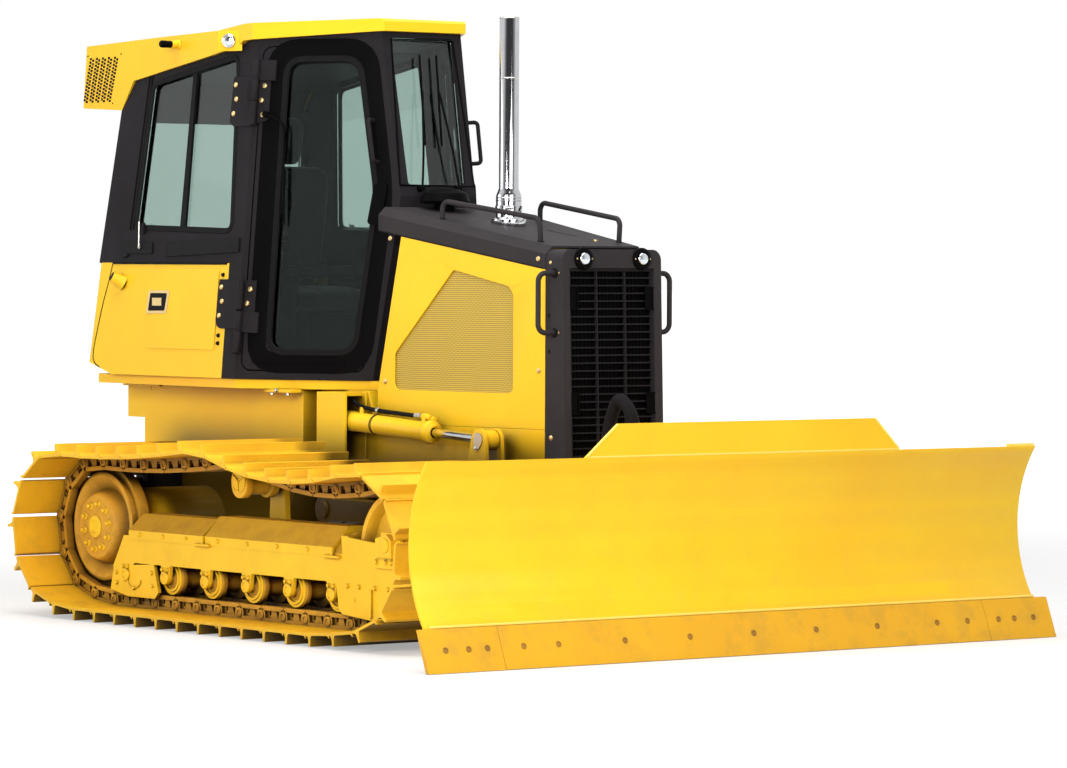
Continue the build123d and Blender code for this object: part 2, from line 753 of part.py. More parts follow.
# the guard's own x and y run across and up its leaning face, from the middle of its foot
guard_tilt = radians(GUARD_LEAN)
guard_face = Plane(
    origin=(GUARD_X, 0, GUARD_BOTTOM), x_dir=(0, 1, 0), z_dir=(cos(guard_tilt), 0, sin(guard_tilt))
)
GUARD_TOP = GUARD_BOTTOM + GUARD_HEIGHT * cos(guard_tilt)
GUARD_TOP_X = GUARD_X - GUARD_HEIGHT * sin(guard_tilt)
LAMP_RISE = (GRILLE_SILL + GRILLE_HEIGHT + GUARD_HEIGHT) / 2  # middle of the header over the grille


def guard_profile(wall):
    """Side view of the guard, drawn in by a wall."""
    return [
        (HOOD_FRONT_X, GUARD_BOTTOM + wall),
        (GUARD_X - wall, GUARD_BOTTOM + wall),
        (GUARD_TOP_X - wall, GUARD_TOP - wall),
        (HOOD_FRONT_X, GUARD_TOP - wall),
    ]


with BuildPart() as radiator_guard:
    with BuildSketch(cross_plane(HOOD_FRONT_X)) as guard_outer:
        with Locations((0, (GUARD_BOTTOM + GUARD_TOP) / 2)):
            Rectangle(2 * HOOD_FRONT_HALF, GUARD_TOP - GUARD_BOTTOM)
        fillet(guard_outer.vertices().group_by(Axis.Y)[-1], radius=44)
    extrude(amount=GUARD_X - HOOD_FRONT_X)
    with BuildSketch(side_plane(0)):
        closed_face(guard_profile(0))
    extrude(amount=HOOD_FRONT_HALF, both=True, mode=Mode.INTERSECT)
    with BuildSketch(side_plane(0)):
        closed_face(guard_profile(GUARD_WALL))
    extrude(amount=HOOD_FRONT_HALF - GUARD_WALL, both=True, mode=Mode.SUBTRACT)
    with BuildSketch(guard_face):
        with Locations((0, GRILLE_SILL + GRILLE_HEIGHT / 2)):
            Rectangle(2 * GRILLE_HALF, GRILLE_HEIGHT)
    extrude(amount=-2 * GUARD_WALL, mode=Mode.SUBTRACT)
pieces["radiator_guard"] = radiator_guard

SLAT_COUNT = int(GRILLE_HEIGHT / SLAT_STEP) - 1
with BuildPart() as grille:
    with BuildSketch(guard_face.offset(4 - GUARD_WALL)):
        with Locations((0, GRILLE_SILL + GRILLE_HEIGHT / 2)):
            Rectangle(2 * GRILLE_HALF, GRILLE_HEIGHT)
            Rectangle(2 * (GRILLE_HALF - 2 * SLAT), GRILLE_HEIGHT - 4 * SLAT, mode=Mode.SUBTRACT)
            with GridLocations(2 * GRILLE_HALF / 3, 1, 2, 1):
                Rectangle(SLAT, GRILLE_HEIGHT - 2 * SLAT)
            with GridLocations(1, SLAT_STEP, 1, SLAT_COUNT):
                Rectangle(2 * (GRILLE_HALF - SLAT), SLAT)
    extrude(amount=-GUARD_WALL)
pieces["grille"] = grille

with BuildPart() as headlamps:
    for side in (-1, 1):
        with BuildSketch(guard_face):
            with Locations((side * LAMP_Y, LAMP_RISE)):
                Circle(LAMP_R + LAMP_BEZEL)
        extrude(amount=8, taper=20)
        with BuildSketch(guard_face):
            with Locations((side * LAMP_Y, LAMP_RISE)):
                Circle(LAMP_R)
        extrude(amount=14)
pieces["headlamps"] = headlamps


def crown_z(x):
    """Height of the hood's flat top at x."""
    return between(CROWN_REAR_Z, CROWN_FRONT_Z, (x - HOOD_REAR_X) / (HOOD_FRONT_X - HOOD_REAR_X))


with BuildPart() as below_crown:
    with BuildSketch(side_plane(0)):
        closed_face(
            [
                (HOOD_REAR_X, CROWN_REAR_Z - 80),
                (HOOD_FRONT_X, CROWN_FRONT_Z - 80),
                (HOOD_FRONT_X, CROWN_FRONT_Z),
                (HOOD_REAR_X, CROWN_REAR_Z),
            ]
        )
    extrude(amount=HOOD_FRONT_HALF + 40, both=True)

EXHAUST_X, EXHAUST_R, EXHAUST_WALL, EXHAUST_TOP = 435, 42, 4, 2601
EXHAUST_FOOT = crown_z(EXHAUST_X)
with BuildPart() as exhaust_stack:
    with BuildSketch(Plane.XZ):
        closed_face(
            [
                (EXHAUST_R - EXHAUST_WALL, EXHAUST_FOOT - 16),
                (74, EXHAUST_FOOT - 16),
                (74, EXHAUST_FOOT + 20),
                (54, EXHAUST_FOOT + 26),
                (54, EXHAUST_FOOT + 120),
                (EXHAUST_R, EXHAUST_FOOT + 150),
                (EXHAUST_R, EXHAUST_TOP),
                (EXHAUST_R - EXHAUST_WALL, EXHAUST_TOP),
            ]
        )
    revolve(axis=Axis.Z)

with BuildPart() as exhaust:
    with Locations((EXHAUST_X, 0, 0)):
        add(exhaust_stack.part)
    add(below_crown.part, mode=Mode.SUBTRACT)
pieces["exhaust"] = exhaust

with BuildPart() as intake_bowl:
    with BuildSketch(Plane.XZ):
        neck, cap = [(0, 1770), (46, 1770), (46, 1812)], [(100, 1812), (108, 1822), (96, 1856), (60, 1874)]
        closed_face(neck + cap + [(0, 1878)])
    revolve(axis=Axis.Z)

with BuildPart() as air_intake:
    with Locations((62, -60, 0)):
        add(intake_bowl.part)
    add(below_crown.part, mode=Mode.SUBTRACT)
pieces["air_intake"] = air_intake

TUBE_R = 11
HOOD_RAIL = ((925, 208, crown_z(925) - 2), (925, 214, 1743), (316, 262, 1820), (316, 262, crown_z(316) - 2))
HANDLE_X, HANDLE_REACH, HANDLE_Z = HOOD_FRONT_X + 60, 86, (1272, 1517)
GUARD_HANDLE = (
    (HANDLE_X, HOOD_FRONT_HALF, HANDLE_Z[0]),
    (HANDLE_X, HOOD_FRONT_HALF + HANDLE_REACH, HANDLE_Z[0]),
    (HANDLE_X, HOOD_FRONT_HALF + HANDLE_REACH, HANDLE_Z[1]),
    (HANDLE_X, HOOD_FRONT_HALF, HANDLE_Z[1]),
)

with BuildPart() as handrails:
    with BuildLine() as tube_line:
        FilletPolyline(*HOOD_RAIL, radius=36)
    with BuildSketch(Plane(origin=tube_line.line @ 0, z_dir=tube_line.line % 0)):
        Circle(TUBE_R)
    sweep(path=tube_line.line)
    add(below_crown.part, mode=Mode.SUBTRACT)
    mirror(about=Plane.XZ)
pieces["handrails"] = handrails

with BuildPart() as guard_handles:
    with BuildLine() as handle_line:
        FilletPolyline(*GUARD_HANDLE, radius=36)
    with BuildSketch(Plane(origin=handle_line.line @ 0, z_dir=handle_line.line % 0)):
        Circle(TUBE_R)
    sweep(path=handle_line.line)
    mirror(about=Plane.XZ)
pieces["guard_handles"] = guard_handles

# ---------------------------------------------------------------- cab shell
lean, yaw = radians(CAB_LEAN), radians(DOOR_YAW)
cab_side = Plane(
    origin=(0, CAB_SIDE_Y, CAB_BASE_Z),
    x_dir=(1, 0, 0),
    z_dir=(0, -cos(lean), sin(lean)),
)
door_side = Plane(
    origin=(POST_X, CAB_SIDE_Y, CAB_BASE_Z),
    x_dir=(cos(yaw), sin(yaw), 0),
    z_dir=(sin(yaw) * cos(lean), -cos(yaw) * cos(lean), cos(yaw) * sin(lean)),
)


def reach(plane, x, z):
    """Distance of a plane from the machine's centre at the side-view point (x, z)."""
    n, o = plane.z_dir, plane.origin
    return abs(o.Y - (n.X * (x - o.X) + n.Z * (z - o.Z)) / n.Y)


def cross_wall(low, high, facing):
    """Plane of a wall across the cab through two side-view points, facing front (1) or rear (-1)."""
    run, rise = high[0] - low[0], high[1] - low[1]
    return Plane(
        origin=(low[0], 0, low[1]), x_dir=(0, facing, 0), z_dir=(facing * rise, 0, -facing * run)
    )


REAR_LOW, REAR_HIGH = (-1864, 1551), (-1766, 2262)
SIDE_OUTLINE = [
    REAR_LOW,
    REAR_HIGH,
    (-1668, 2393),
    (-846, 2519),
    (POST_X, 2548),
    (POST_X, FLOOR_Z),
    (-813, FLOOR_Z),
    (-813, REAR_LOW[1]),
]
SIDE_WINDOW = [(-1585, 1710), (-1520, 2356), (-854, 2463), (-812, 1691)]
FRONT_LOW = (-128, FLOOR_Z)
PORTAL_OUTLINE = [(POST_X, FLOOR_Z), FRONT_LOW, SCREEN_LOW, (-200, 2578), (POST_X, 2548)]
DOOR_OPENING = [(-690, 1082), (-168, 1082), (-113, 1846), (-234, 2500), (-690, 2500)]
DOOR_WINDOW = [(-578, 1165), (-212, 1165), (-166, 1846), (-276, 2440), (-584, 2440)]

screen_wall = cross_wall(SCREEN_LOW, SCREEN_HIGH, 1)
dash_wall = cross_wall(FRONT_LOW, SCREEN_LOW, 1)
rear_wall = cross_wall(REAR_LOW, REAR_HIGH, -1)


def wall_panel(low, high, sides, margin):
    """Corners of a wall between two side-view points, drawn in by a margin all round."""
    width_low, width_high = reach(sides, *low) - margin, reach(sides, *high) - margin
    height = hypot(high[0] - low[0], high[1] - low[1]) - margin
    return [(-width_low, margin), (width_low, margin), (width_high, height), (-width_high, height)]


WALLS = (
    (screen_wall, SCREEN_LOW, (-200, 2578), door_side, 46),
    (rear_wall, REAR_LOW, REAR_HIGH, cab_side, 70),
)

with BuildPart() as cab_frame:
    with BuildSketch(cab_side):
        closed_face(elevation(cab_side, *SIDE_OUTLINE))
        closed_face(elevation(cab_side, *SIDE_WINDOW), bend=36, mode=Mode.SUBTRACT)
    extrude(amount=-CAB_WALL)
    with BuildSketch(door_side):
        closed_face(elevation(door_side, *PORTAL_OUTLINE))
        closed_face(elevation(door_side, *DOOR_OPENING), bend=48, mode=Mode.SUBTRACT)
    extrude(amount=-CAB_WALL)
    mirror(about=Plane.XZ)
    for wall, low, high, sides, margin in WALLS:
        with BuildSketch(wall):
            closed_face(wall_panel(low, high, sides, 0))
            closed_face(wall_panel(low, high, sides, margin), bend=20, mode=Mode.SUBTRACT)
        extrude(amount=-CAB_WALL)
    with BuildSketch(dash_wall):
        closed_face(wall_panel(FRONT_LOW, SCREEN_LOW, door_side, 0))
    extrude(amount=-CAB_WALL)
    add(cab_platform.part, mode=Mode.SUBTRACT)
pieces["cab_frame"] = cab_frame

with BuildPart() as cab_glass:
    with BuildSketch(cab_side.offset(-PANE_DEPTH)):
        closed_face(elevation(cab_side, *SIDE_WINDOW), bend=36)
        offset(amount=-RUN_GAP, mode=Mode.REPLACE)
    extrude(amount=-GLASS)
    mirror(about=Plane.XZ)
    for wall, low, high, sides, margin in WALLS:
        with BuildSketch(wall.offset(-PANE_DEPTH)):
            closed_face(wall_panel(low, high, sides, margin), bend=20)
            offset(amount=-RUN_GAP, mode=Mode.REPLACE)
        extrude(amount=-GLASS)
    add(cab_frame.part, mode=Mode.SUBTRACT)
pieces["cab_glass"] = cab_glass

ROOF_TOP = 2612
ROOF_PROFILE = [
    (-BLADE_X, ROOF_TOP - 354),
    (-2060, ROOF_TOP - 71),
    (-1483, ROOF_TOP - 50),
    (-993, ROOF_TOP - 36),
    (-780, ROOF_TOP - 12),
    (-190, ROOF_TOP),
    (-165, ROOF_TOP - 12),
    (-165, ROOF_TOP - 54),
    (-790, ROOF_TOP - 86),
    (-846, ROOF_TOP - 113),
    (-1668, ROOF_TOP - 239),
    (-1766, ROOF_TOP - 370),
]
ROOF_PLAN = [
    (-BLADE_X, -ROOF_HALF),
    (-722, -ROOF_HALF),
    (-165, -219),
    (-165, 219),
    (-722, ROOF_HALF),
    (-BLADE_X, ROOF_HALF),
]

with BuildPart() as roof:
    with BuildSketch(side_plane(0)):
        closed_face(ROOF_PROFILE)
    extrude(amount=ROOF_HALF, both=True)
    with BuildSketch(Plane.XY.offset(ROOF_TOP)):
        closed_face(ROOF_PLAN)
    extrude(amount=-400, mode=Mode.INTERSECT)
    add(cab_frame.part, mode=Mode.SUBTRACT)
pieces["roof"] = roof

# ---------------------------------------------------------------- consoles, tank, seat
CONSOLE = [
    (-1906, FLOOR_Z + 54),
    (-1864, CONSOLE_TOP),
    (-813, CONSOLE_TOP),
    (-813, FLOOR_Z),
    (-1700, FLOOR_Z),
]
ACCESS_DOOR = [(-1419, 1170), (-1419, 1526), (-883, 1526), (-883, 1170)]
with BuildPart() as side_consoles:
    with BuildSketch(cab_side):
        closed_face(elevation(cab_side, *CONSOLE))
    extrude(amount=-CONSOLE_WIDTH)
    outer_edges = side_consoles.faces().sort_by(Axis.Y)[0].edges()
    fillet(outer_edges.sort_by(Axis.X)[0], radius=26)
    with BuildSketch(cab_side):
        closed_face(elevation(cab_side, *ACCESS_DOOR), bend=14)
    extrude(amount=4)
    add(cab_frame.part, mode=Mode.SUBTRACT)
    add(cab_platform.part, mode=Mode.SUBTRACT)
    with Locations((-1360, -500, FLOOR_Z - 100)):
        Box(1200, 400, 200, mode=Mode.SUBTRACT)
    mirror(about=Plane.XZ)
pieces["side_consoles"] = side_consoles

with BuildPart() as rear_tank:
    with BuildSketch(side_plane(400)):
        closed_face([CONSOLE[4], CONSOLE[0], CONSOLE[1], (-1650, CONSOLE_TOP), (-1650, FLOOR_Z)])
    extrude(amount=800)
    add(side_consoles.part, mode=Mode.SUBTRACT)
    add(cab_frame.part, mode=Mode.SUBTRACT)
pieces["rear_tank"] = rear_tank

SEAT_Z = 1330
with BuildPart() as seat:
    with BuildSketch(side_plane(220)):
        closed_face([(-1230, SEAT_Z), (-1230, 1430), (-780, 1450), (-750, 1420), (-770, SEAT_Z)])
    extrude(amount=440)
    with BuildSketch(side_plane(210)):
        closed_face([(-1230, 1420), (-1330, 1990), (-1300, 2020), (-1240, 2010), (-1120, 1430)])
    extrude(amount=420)
    with BuildSketch(side_plane(130)):
        closed_face([(-1310, 2000), (-1335, 2200), (-1290, 2230), (-1240, 2210), (-1240, 2000)])
    extrude(amount=260)
pieces["seat"] = seat

with BuildPart() as operator_station:
    with Locations((-1000, 0, (FLOOR_Z + SEAT_Z) / 2)):
        Box(400, 300, SEAT_Z - FLOOR_Z)
    for side in (-1, 1):
        with BuildSketch(side_plane(side * 290 + 45)):
            closed_face([(-1240, FLOOR_Z), (-1240, 1600), (-840, 1640), (-760, 1600), (-800, FLOOR_Z)])
        extrude(amount=90)
    with BuildSketch(Plane.XY.offset(FLOOR_Z)):
        closed_face([(-1240, -335), (-760, -335), (-250, -190), (-250, 190), (-760, 335), (-1240, 335)])
    extrude(amount=10)
    with BuildSketch(side_plane(150)):
        closed_face([(-300, FLOOR_Z), (-330, 1500), (-260, 1700), (-190, 1700), (-210, FLOOR_Z)])
    extrude(amount=300)
    add(cab_frame.part, mode=Mode.SUBTRACT)
pieces["operator_station"] = operator_station

# ---------------------------------------------------------------- doors
HINGE_OUT, HINGE_AHEAD, KNUCKLE_R = 26, 14, 15
KNUCKLE_HALF = 45
HINGE_HEIGHTS = (1250, 2350)
corner = Vector(0, sin(lean), cos(lean))
hinge_base = (
    Vector(POST_X, CAB_SIDE_Y, CAB_BASE_Z) + door_side.z_dir * HINGE_OUT + door_side.x_dir * HINGE_AHEAD
)


def hinge_plane(z):
    """Plane across the hinge axis at a height: its x runs along the door, its y into the cab."""
    return Plane(
        origin=hinge_base + corner * ((z - CAB_BASE_Z) / cos(lean)), x_dir=door_side.x_dir, z_dir=corner
    )


with BuildPart() as door_right:
    with BuildSketch(door_side):
        closed_face(elevation(door_side, *DOOR_OPENING), bend=48)
        offset(amount=-DOOR_GAP, mode=Mode.REPLACE)
        closed_face(elevation(door_side, *DOOR_WINDOW), bend=60, mode=Mode.SUBTRACT)
    extrude(amount=-DOOR_WALL)
    for z in HINGE_HEIGHTS:
        with BuildSketch(hinge_plane(z).offset(RUN_GAP)):
            Circle(KNUCKLE_R)
            foot = HINGE_OUT + 1
            closed_face([(0, 0), (16, 0), (16, 10), (90, 10), (90, foot), (52, foot), (52, 21), (0, 21)])
        extrude(amount=2 * KNUCKLE_HALF)
    # grab handle near the front edge
    with BuildLine(door_side) as grip_line:
        grip = elevation(door_side, (-170, 1990), (-203, 2170))
        (u0, v0), (u1, v1) = grip
        FilletPolyline((u0, v0, -3), (u0, v0, 52), (u1, v1, 52), (u1, v1, -3), radius=16)
    with BuildSketch(Plane(origin=grip_line.line @ 0, z_dir=grip_line.line % 0)):
        Circle(9)
    sweep(path=grip_line.line)
pieces["door_right"] = door_right

with BuildPart() as door_glass_right:
    with BuildSketch(door_side.offset(-PANE_DEPTH)):
        closed_face(elevation(door_side, *DOOR_WINDOW), bend=60)
        offset(amount=-RUN_GAP, mode=Mode.REPLACE)
    extrude(amount=-GLASS)
pieces["door_glass_right"] = door_glass_right

with BuildPart() as door_hinges:
    for z in HINGE_HEIGHTS:
        with BuildSketch(hinge_plane(z)):
            Circle(KNUCKLE_R)
            with Locations((-17, 20)):
                Rectangle(46, 26)
            with Locations((0, 12)):
                Rectangle(20, 24)
        extrude(amount=-2 * KNUCKLE_HALF)
    mirror(about=Plane.XZ)
    add(cab_frame.part, mode=Mode.SUBTRACT)
pieces["door_hinges"] = door_hinges

with BuildPart() as door_left:
    mirror(door_right.part, about=Plane.XZ)
pieces["door_left"] = door_left

with BuildPart() as door_glass_left:
    mirror(door_glass_right.part, about=Plane.XZ)
pieces["door_glass_left"] = door_glass_left

# ---------------------------------------------------------------- push frame and yoke
ARM_LOW, ARM_HIGH = PUSH_PIVOT[1] - ARM_DEPTH / 2, PUSH_PIVOT[1] + ARM_DEPTH / 2
BEAM_REAR, BEAM_FRONT, BEAM_TOP = 1300, 1408, 560
NOSE_PIN_R, NOSE_R = 40, 75
NOSE_PLATES = ((380, 405), (525, 550))
LUG_R, LUG_GAP, LUG_PLATE = 48, 33, 16
LUG_FOOT = (118, 60)
ANGLE_FORKS = ((575, 600), (655, 680))
SWING_GAP = 2

with BuildPart() as push_frame:
    for side in (-1, 1):
        inner = side * ARM_Y + ARM_WIDTH / 2
        with BuildSketch(side_plane(inner)):
            with Locations((PUSH_PIVOT[0], PUSH_PIVOT[1])):
                Circle(62)
            rear = PUSH_PIVOT[0]
            closed_face([(rear, ARM_LOW), (BEAM_FRONT, ARM_LOW), (BEAM_FRONT, ARM_HIGH), (rear, ARM_HIGH)])
            with Locations((PUSH_PIVOT[0], PUSH_PIVOT[1])):
                Circle(38 + PIN_FIT, mode=Mode.SUBTRACT)
        extrude(amount=ARM_WIDTH)
        # lift lugs: two round-topped ears on a block beside the arm
        with Locations((LIFT_EYE[0] + (LUG_FOOT[1] - LUG_FOOT[0]) / 2, side * 456, 540)):
            Box(LUG_FOOT[0] + LUG_FOOT[1], 178, 80)
        for y in (LIFT_Y + LUG_GAP + LUG_PLATE / 2, LIFT_Y - LUG_GAP - LUG_PLATE / 2):
            with BuildSketch(side_plane(side * y + LUG_PLATE / 2)):
                with Locations(LIFT_EYE):
                    Circle(LUG_R)
                closed_face(
                    [
                        (LIFT_EYE[0] - LUG_R, LIFT_EYE[1] + 12),
                        (LIFT_EYE[0] - LUG_FOOT[0], ARM_HIGH + 15),
                        (LIFT_EYE[0] + LUG_FOOT[1], ARM_HIGH + 15),
                        (LIFT_EYE[0] + LUG_R, LIFT_EYE[1]),
                    ]
                )
            extrude(amount=LUG_PLATE)
        # angle ram base forks
        with Locations((ANGLE_BASE_X, side * 452, 560)):
            Box(80, 184, 50)
        for low, high in ANGLE_FORKS:
            with Locations((ANGLE_BASE_X, side * 423, (low + high) / 2)):
                Box(80, 126, high - low)
        with Locations((ANGLE_BASE_X, side * 473, 628)):
            Box(80, 26, 104)
        with Locations((ANGLE_BASE_X, side * ANGLE_Y, ANGLE_Z)):
            Cylinder(20, 80)
    with Locations(((BEAM_REAR + BEAM_FRONT) / 2, 0, (ARM_LOW + BEAM_TOP) / 2)):
        Box(BEAM_FRONT - BEAM_REAR, 2 * ARM_Y + ARM_WIDTH, BEAM_TOP - ARM_LOW)
    with Locations((BEAM_FRONT - 35, 0, (NOSE_PLATES[0][0] + ARM_LOW) / 2)):
        Box(70, 260, ARM_LOW - NOSE_PLATES[0][0])
    for low, high in NOSE_PLATES:
        with BuildSketch(Plane.XY.offset(low)):
            root = BEAM_FRONT - 30
            closed_face([(root, -130), (NOSE_X, -NOSE_R), (NOSE_X, NOSE_R), (root, 130)])
            with Locations((NOSE_X, 0)):
                Circle(NOSE_R)
        extrude(amount=high - low)
    with Locations((NOSE_X, 0, NOSE_Z)):
        Cylinder(NOSE_PIN_R, 170)
pieces["push_frame"] = push_frame

YOKE_REAR, YOKE_FRONT = 1588, 1645
YOKE_LOW, YOKE_HIGH = NOSE_PLATES[0][1] + SWING_GAP + 3, NOSE_PLATES[1][0] - SWING_GAP - 3
TRUNNION_R, TRUNNION_END = 60, 1775
TILT_PIN_R = 18
TILT_EYE_HALF = 22

with BuildPart() as blade_yoke:
    with Locations((NOSE_X, 0, NOSE_Z)):
        Cylinder(72, YOKE_HIGH - YOKE_LOW)
    with Locations(((NOSE_X + YOKE_REAR) / 2, 0, NOSE_Z)):
        Box(YOKE_REAR - NOSE_X + 20, 120, YOKE_HIGH - YOKE_LOW)
    with Locations(((YOKE_REAR + YOKE_FRONT) / 2, 0, NOSE_Z)):
        Box(YOKE_FRONT - YOKE_REAR, 880, YOKE_HIGH - YOKE_LOW)
    with Locations((NOSE_X, 0, NOSE_Z)):
        Cylinder(NOSE_PIN_R + PIN_FIT, 200, mode=Mode.SUBTRACT)
    # trunnion that the blade tilts on
    with Locations((YOKE_FRONT + 10, 0, NOSE_Z)):
        Cylinder(110, 20, rotation=(0, 90, 0))
    with Locations(((YOKE_FRONT + TRUNNION_END) / 2, 0, NOSE_Z)):
        Cylinder(TRUNNION_R, TRUNNION_END - YOKE_FRONT, rotation=(0, 90, 0))
    for side in (-1, 1):
        # forks that the angle rams push on
        with Locations(((YOKE_REAR + YOKE_FRONT) / 2, side * ANGLE_Y, 548)):
            Box(YOKE_FRONT - YOKE_REAR, 80, 60)
        for low, high in ANGLE_FORKS:
            with Locations((ANGLE_EYE_X + 12, side * ANGLE_Y, (low + high) / 2)):
                Box(104, 80, high - low)
        with Locations((ANGLE_EYE_X + 57, side * ANGLE_Y, 628)):
            Box(14, 80, 104)
        for z in (ANGLE_FORKS[0][0] - 6, ANGLE_FORKS[1][1] + 6):
            with Locations((ANGLE_EYE_X, side * ANGLE_Y, z)):
                Cylinder(26, 12)
    # post and pin for the tilt ram
    with Locations(((YOKE_REAR + YOKE_FRONT) / 2, TILT_Y, 640)):
        Box(YOKE_FRONT - YOKE_REAR, 70, 250)
    with Locations(((YOKE_FRONT - 5 + TILT_X + 26) / 2, TILT_Y, TILT_Z)):
        Cylinder(TILT_PIN_R, TILT_X + 26 - YOKE_FRONT + 5, rotation=(0, 90, 0))
    with Locations(((YOKE_FRONT + TILT_X - TILT_EYE_HALF - SWING_GAP) / 2, TILT_Y, TILT_Z)):
        Cylinder(30, TILT_X - TILT_EYE_HALF - SWING_GAP - YOKE_FRONT, rotation=(0, 90, 0))
pieces["blade_yoke"] = blade_yoke

# ---------------------------------------------------------------- blade
MOULD_MID_Z = (MOULD_LOW[1] + MOULD_HIGH[1]) / 2
MOULD_MID_X = (MOULD_LOW[0] + MOULD_HIGH[0]) / 2 - MOULD_DEPTH
MOULD_HALF_CHORD = (MOULD_HIGH[1] - MOULD_LOW[1]) / 2
MOULD_R = (MOULD_HALF_CHORD**2 + MOULD_DEPTH**2) / (2 * MOULD_DEPTH)


def mould_x(z, behind=0.0):
    """Face of the mouldboard at a height, less a distance behind it."""
    return MOULD_MID_X + MOULD_R - sqrt(MOULD_R**2 - (z - MOULD_MID_Z) ** 2) - behind


RIB_YS = (-1120, -640, -250, 250, 640, 1120)
EDGE_RUN = (BLADE_X - EDGE_TOP[0]) / EDGE_TOP[1]  # forward lean of the cutting edge
ADAPTER_Z = 32
BOSS_REAR, BOSS_R = YOKE_FRONT + 20 + SWING_GAP, 115
CORE_REAR = 1780

with BuildPart() as spill_plate:
    with BuildSketch(side_plane(0)):
        foot, tip = MOULD_HIGH, (SPILL_TOP_X, SPILL_TOP_Z)
        closed_face([(foot[0] - MOULD_SKIN, foot[1] - 4), foot, tip, (tip[0] - MOULD_SKIN, tip[1])])
    extrude(amount=SPILL_LOW_HALF, both=True)
    with BuildSketch(cross_plane(1900)):
        closed_face(
            [
                (-SPILL_LOW_HALF, MOULD_HIGH[1] - 10),
                (-SPILL_LOW_HALF, MOULD_HIGH[1]),
                (-SPILL_TOP_HALF, SPILL_TOP_Z),
                (SPILL_TOP_HALF, SPILL_TOP_Z),
                (SPILL_LOW_HALF, MOULD_HIGH[1]),
                (SPILL_LOW_HALF, MOULD_HIGH[1] - 10),
            ]
        )
    extrude(amount=200, mode=Mode.INTERSECT)

with BuildPart() as blade:
    with BuildSketch(side_plane(MOULD_HALF)):
        with BuildLine():
            ThreePointArc(MOULD_LOW, (MOULD_MID_X, MOULD_MID_Z), MOULD_HIGH)
            Line(MOULD_HIGH, (MOULD_HIGH[0] - MOULD_SKIN, MOULD_HIGH[1]))
            ThreePointArc(
                (MOULD_HIGH[0] - MOULD_SKIN, MOULD_HIGH[1]),
                (MOULD_MID_X - MOULD_SKIN, MOULD_MID_Z),
                (MOULD_LOW[0] - MOULD_SKIN, MOULD_LOW[1]),
            )
            Line((MOULD_LOW[0] - MOULD_SKIN, MOULD_LOW[1]), MOULD_LOW)
        make_face()
        x_top = EDGE_TOP[0] - EDGE_PLATE
        x_low = x_top + EDGE_RUN * (EDGE_TOP[1] - ADAPTER_Z)
        top, low = EDGE_TOP[1], ADAPTER_Z
        closed_face([(x_top, top), (x_low, low), (x_low - 22, low), (x_top - 22, top)])
    extrude(amount=2 * MOULD_HALF)
    add(spill_plate.part)
    # box beams along the back
    with BuildSketch(side_plane(1130)):
        closed_face([(1984, 140), (1900, 160), (1862, 300), (mould_x(300, 8), 300), (mould_x(160, 6), 160)])
        closed_face([(mould_x(690, 6), 690), (1880, 700), (1890, 775), (mould_x(782, 6), 782)])
    extrude(amount=2260)
    for y in RIB_YS:
        with BuildSketch(side_plane(y + 8)):
            face_line = [(mould_x(z, 6), z) for z in range(785, 155, -70)]
            back_line = [(1984, 145), (1900, 160), (1862, 300), (1852, 475), (1880, 700), (1890, 775)]
            closed_face(back_line + face_line)
        extrude(amount=16)
    # core box and boss that turn on the yoke's trunnion
    with Locations(((CORE_REAR + 1893) / 2, 0, NOSE_Z)):
        Box(1893 - CORE_REAR, 540, 270)
    with Locations(((BOSS_REAR + CORE_REAR) / 2, 0, NOSE_Z)):
        Cylinder(BOSS_R, CORE_REAR - BOSS_REAR, rotation=(0, 90, 0))
        Cylinder(TRUNNION_R + PIN_FIT, CORE_REAR - BOSS_REAR, rotation=(0, 90, 0), mode=Mode.SUBTRACT)
    # cheek that the tilt ram pulls on
    with Locations((1770, -285, 655)):
        Box(50, 170, 230)
    with Locations((1830, -255, 590)):
        Box(120, 16, 200)
    with Locations(((TILT_X + TILT_EYE_HALF + SWING_GAP + 1750) / 2, -TILT_Y, TILT_Z)):
        Cylinder(30, 1750 - TILT_X - TILT_EYE_HALF - SWING_GAP, rotation=(0, 90, 0))
pieces["blade"] = blade

with BuildPart() as cutting_edge:
    for y0, y1 in ((-EDGE_HALF, -END_BIT_Y - 1), (-END_BIT_Y, END_BIT_Y), (END_BIT_Y + 1, EDGE_HALF)):
        with BuildSketch(side_plane(y1)):
            x_top, z_top = EDGE_TOP
            closed_face([(BLADE_X, 0), EDGE_TOP, (x_top - EDGE_PLATE, z_top), (BLADE_X - EDGE_PLATE, 0)])
        extrude(amount=y1 - y0)
pieces["cutting_edge"] = cutting_edge


# ---------------------------------------------------------------- rams
def ram_plane(base, eye, pin):
    """Plane at a ram's base pin: z runs along the ram, x along its pins."""
    return Plane(origin=base, x_dir=pin, z_dir=Vector(*eye) - Vector(*base))


def ram_length(base, eye):
    """Distance between a ram's pins."""
    return (Vector(*eye) - Vector(*base)).length


lift_base = (LIFT_BASE[0], -LIFT_Y, LIFT_BASE[1])
lift_eye = (LIFT_EYE[0], -LIFT_Y, LIFT_EYE[1])
angle_base = (ANGLE_BASE_X, -ANGLE_Y, ANGLE_Z)
angle_eye = (ANGLE_EYE_X, -ANGLE_Y, ANGLE_Z)
tilt_base = (TILT_X, TILT_Y, TILT_Z)
tilt_eye = (TILT_X, -TILT_Y, TILT_Z)

LIFT_SIZES = (LIFT_BARREL_R, LIFT_ROD_R, LIFT_PIN_R, 44, 90, 604, 66, 768, 40, 60)
ANGLE_SIZES = (ANGLE_BARREL_R, ANGLE_ROD_R, 20, 36, 50, 402, 56, 395, 34, 50)
TILT_SIZES = (36, 18, TILT_PIN_R, 32, 2 * TILT_EYE_HALF, 360, 52, 420, 32, 44)
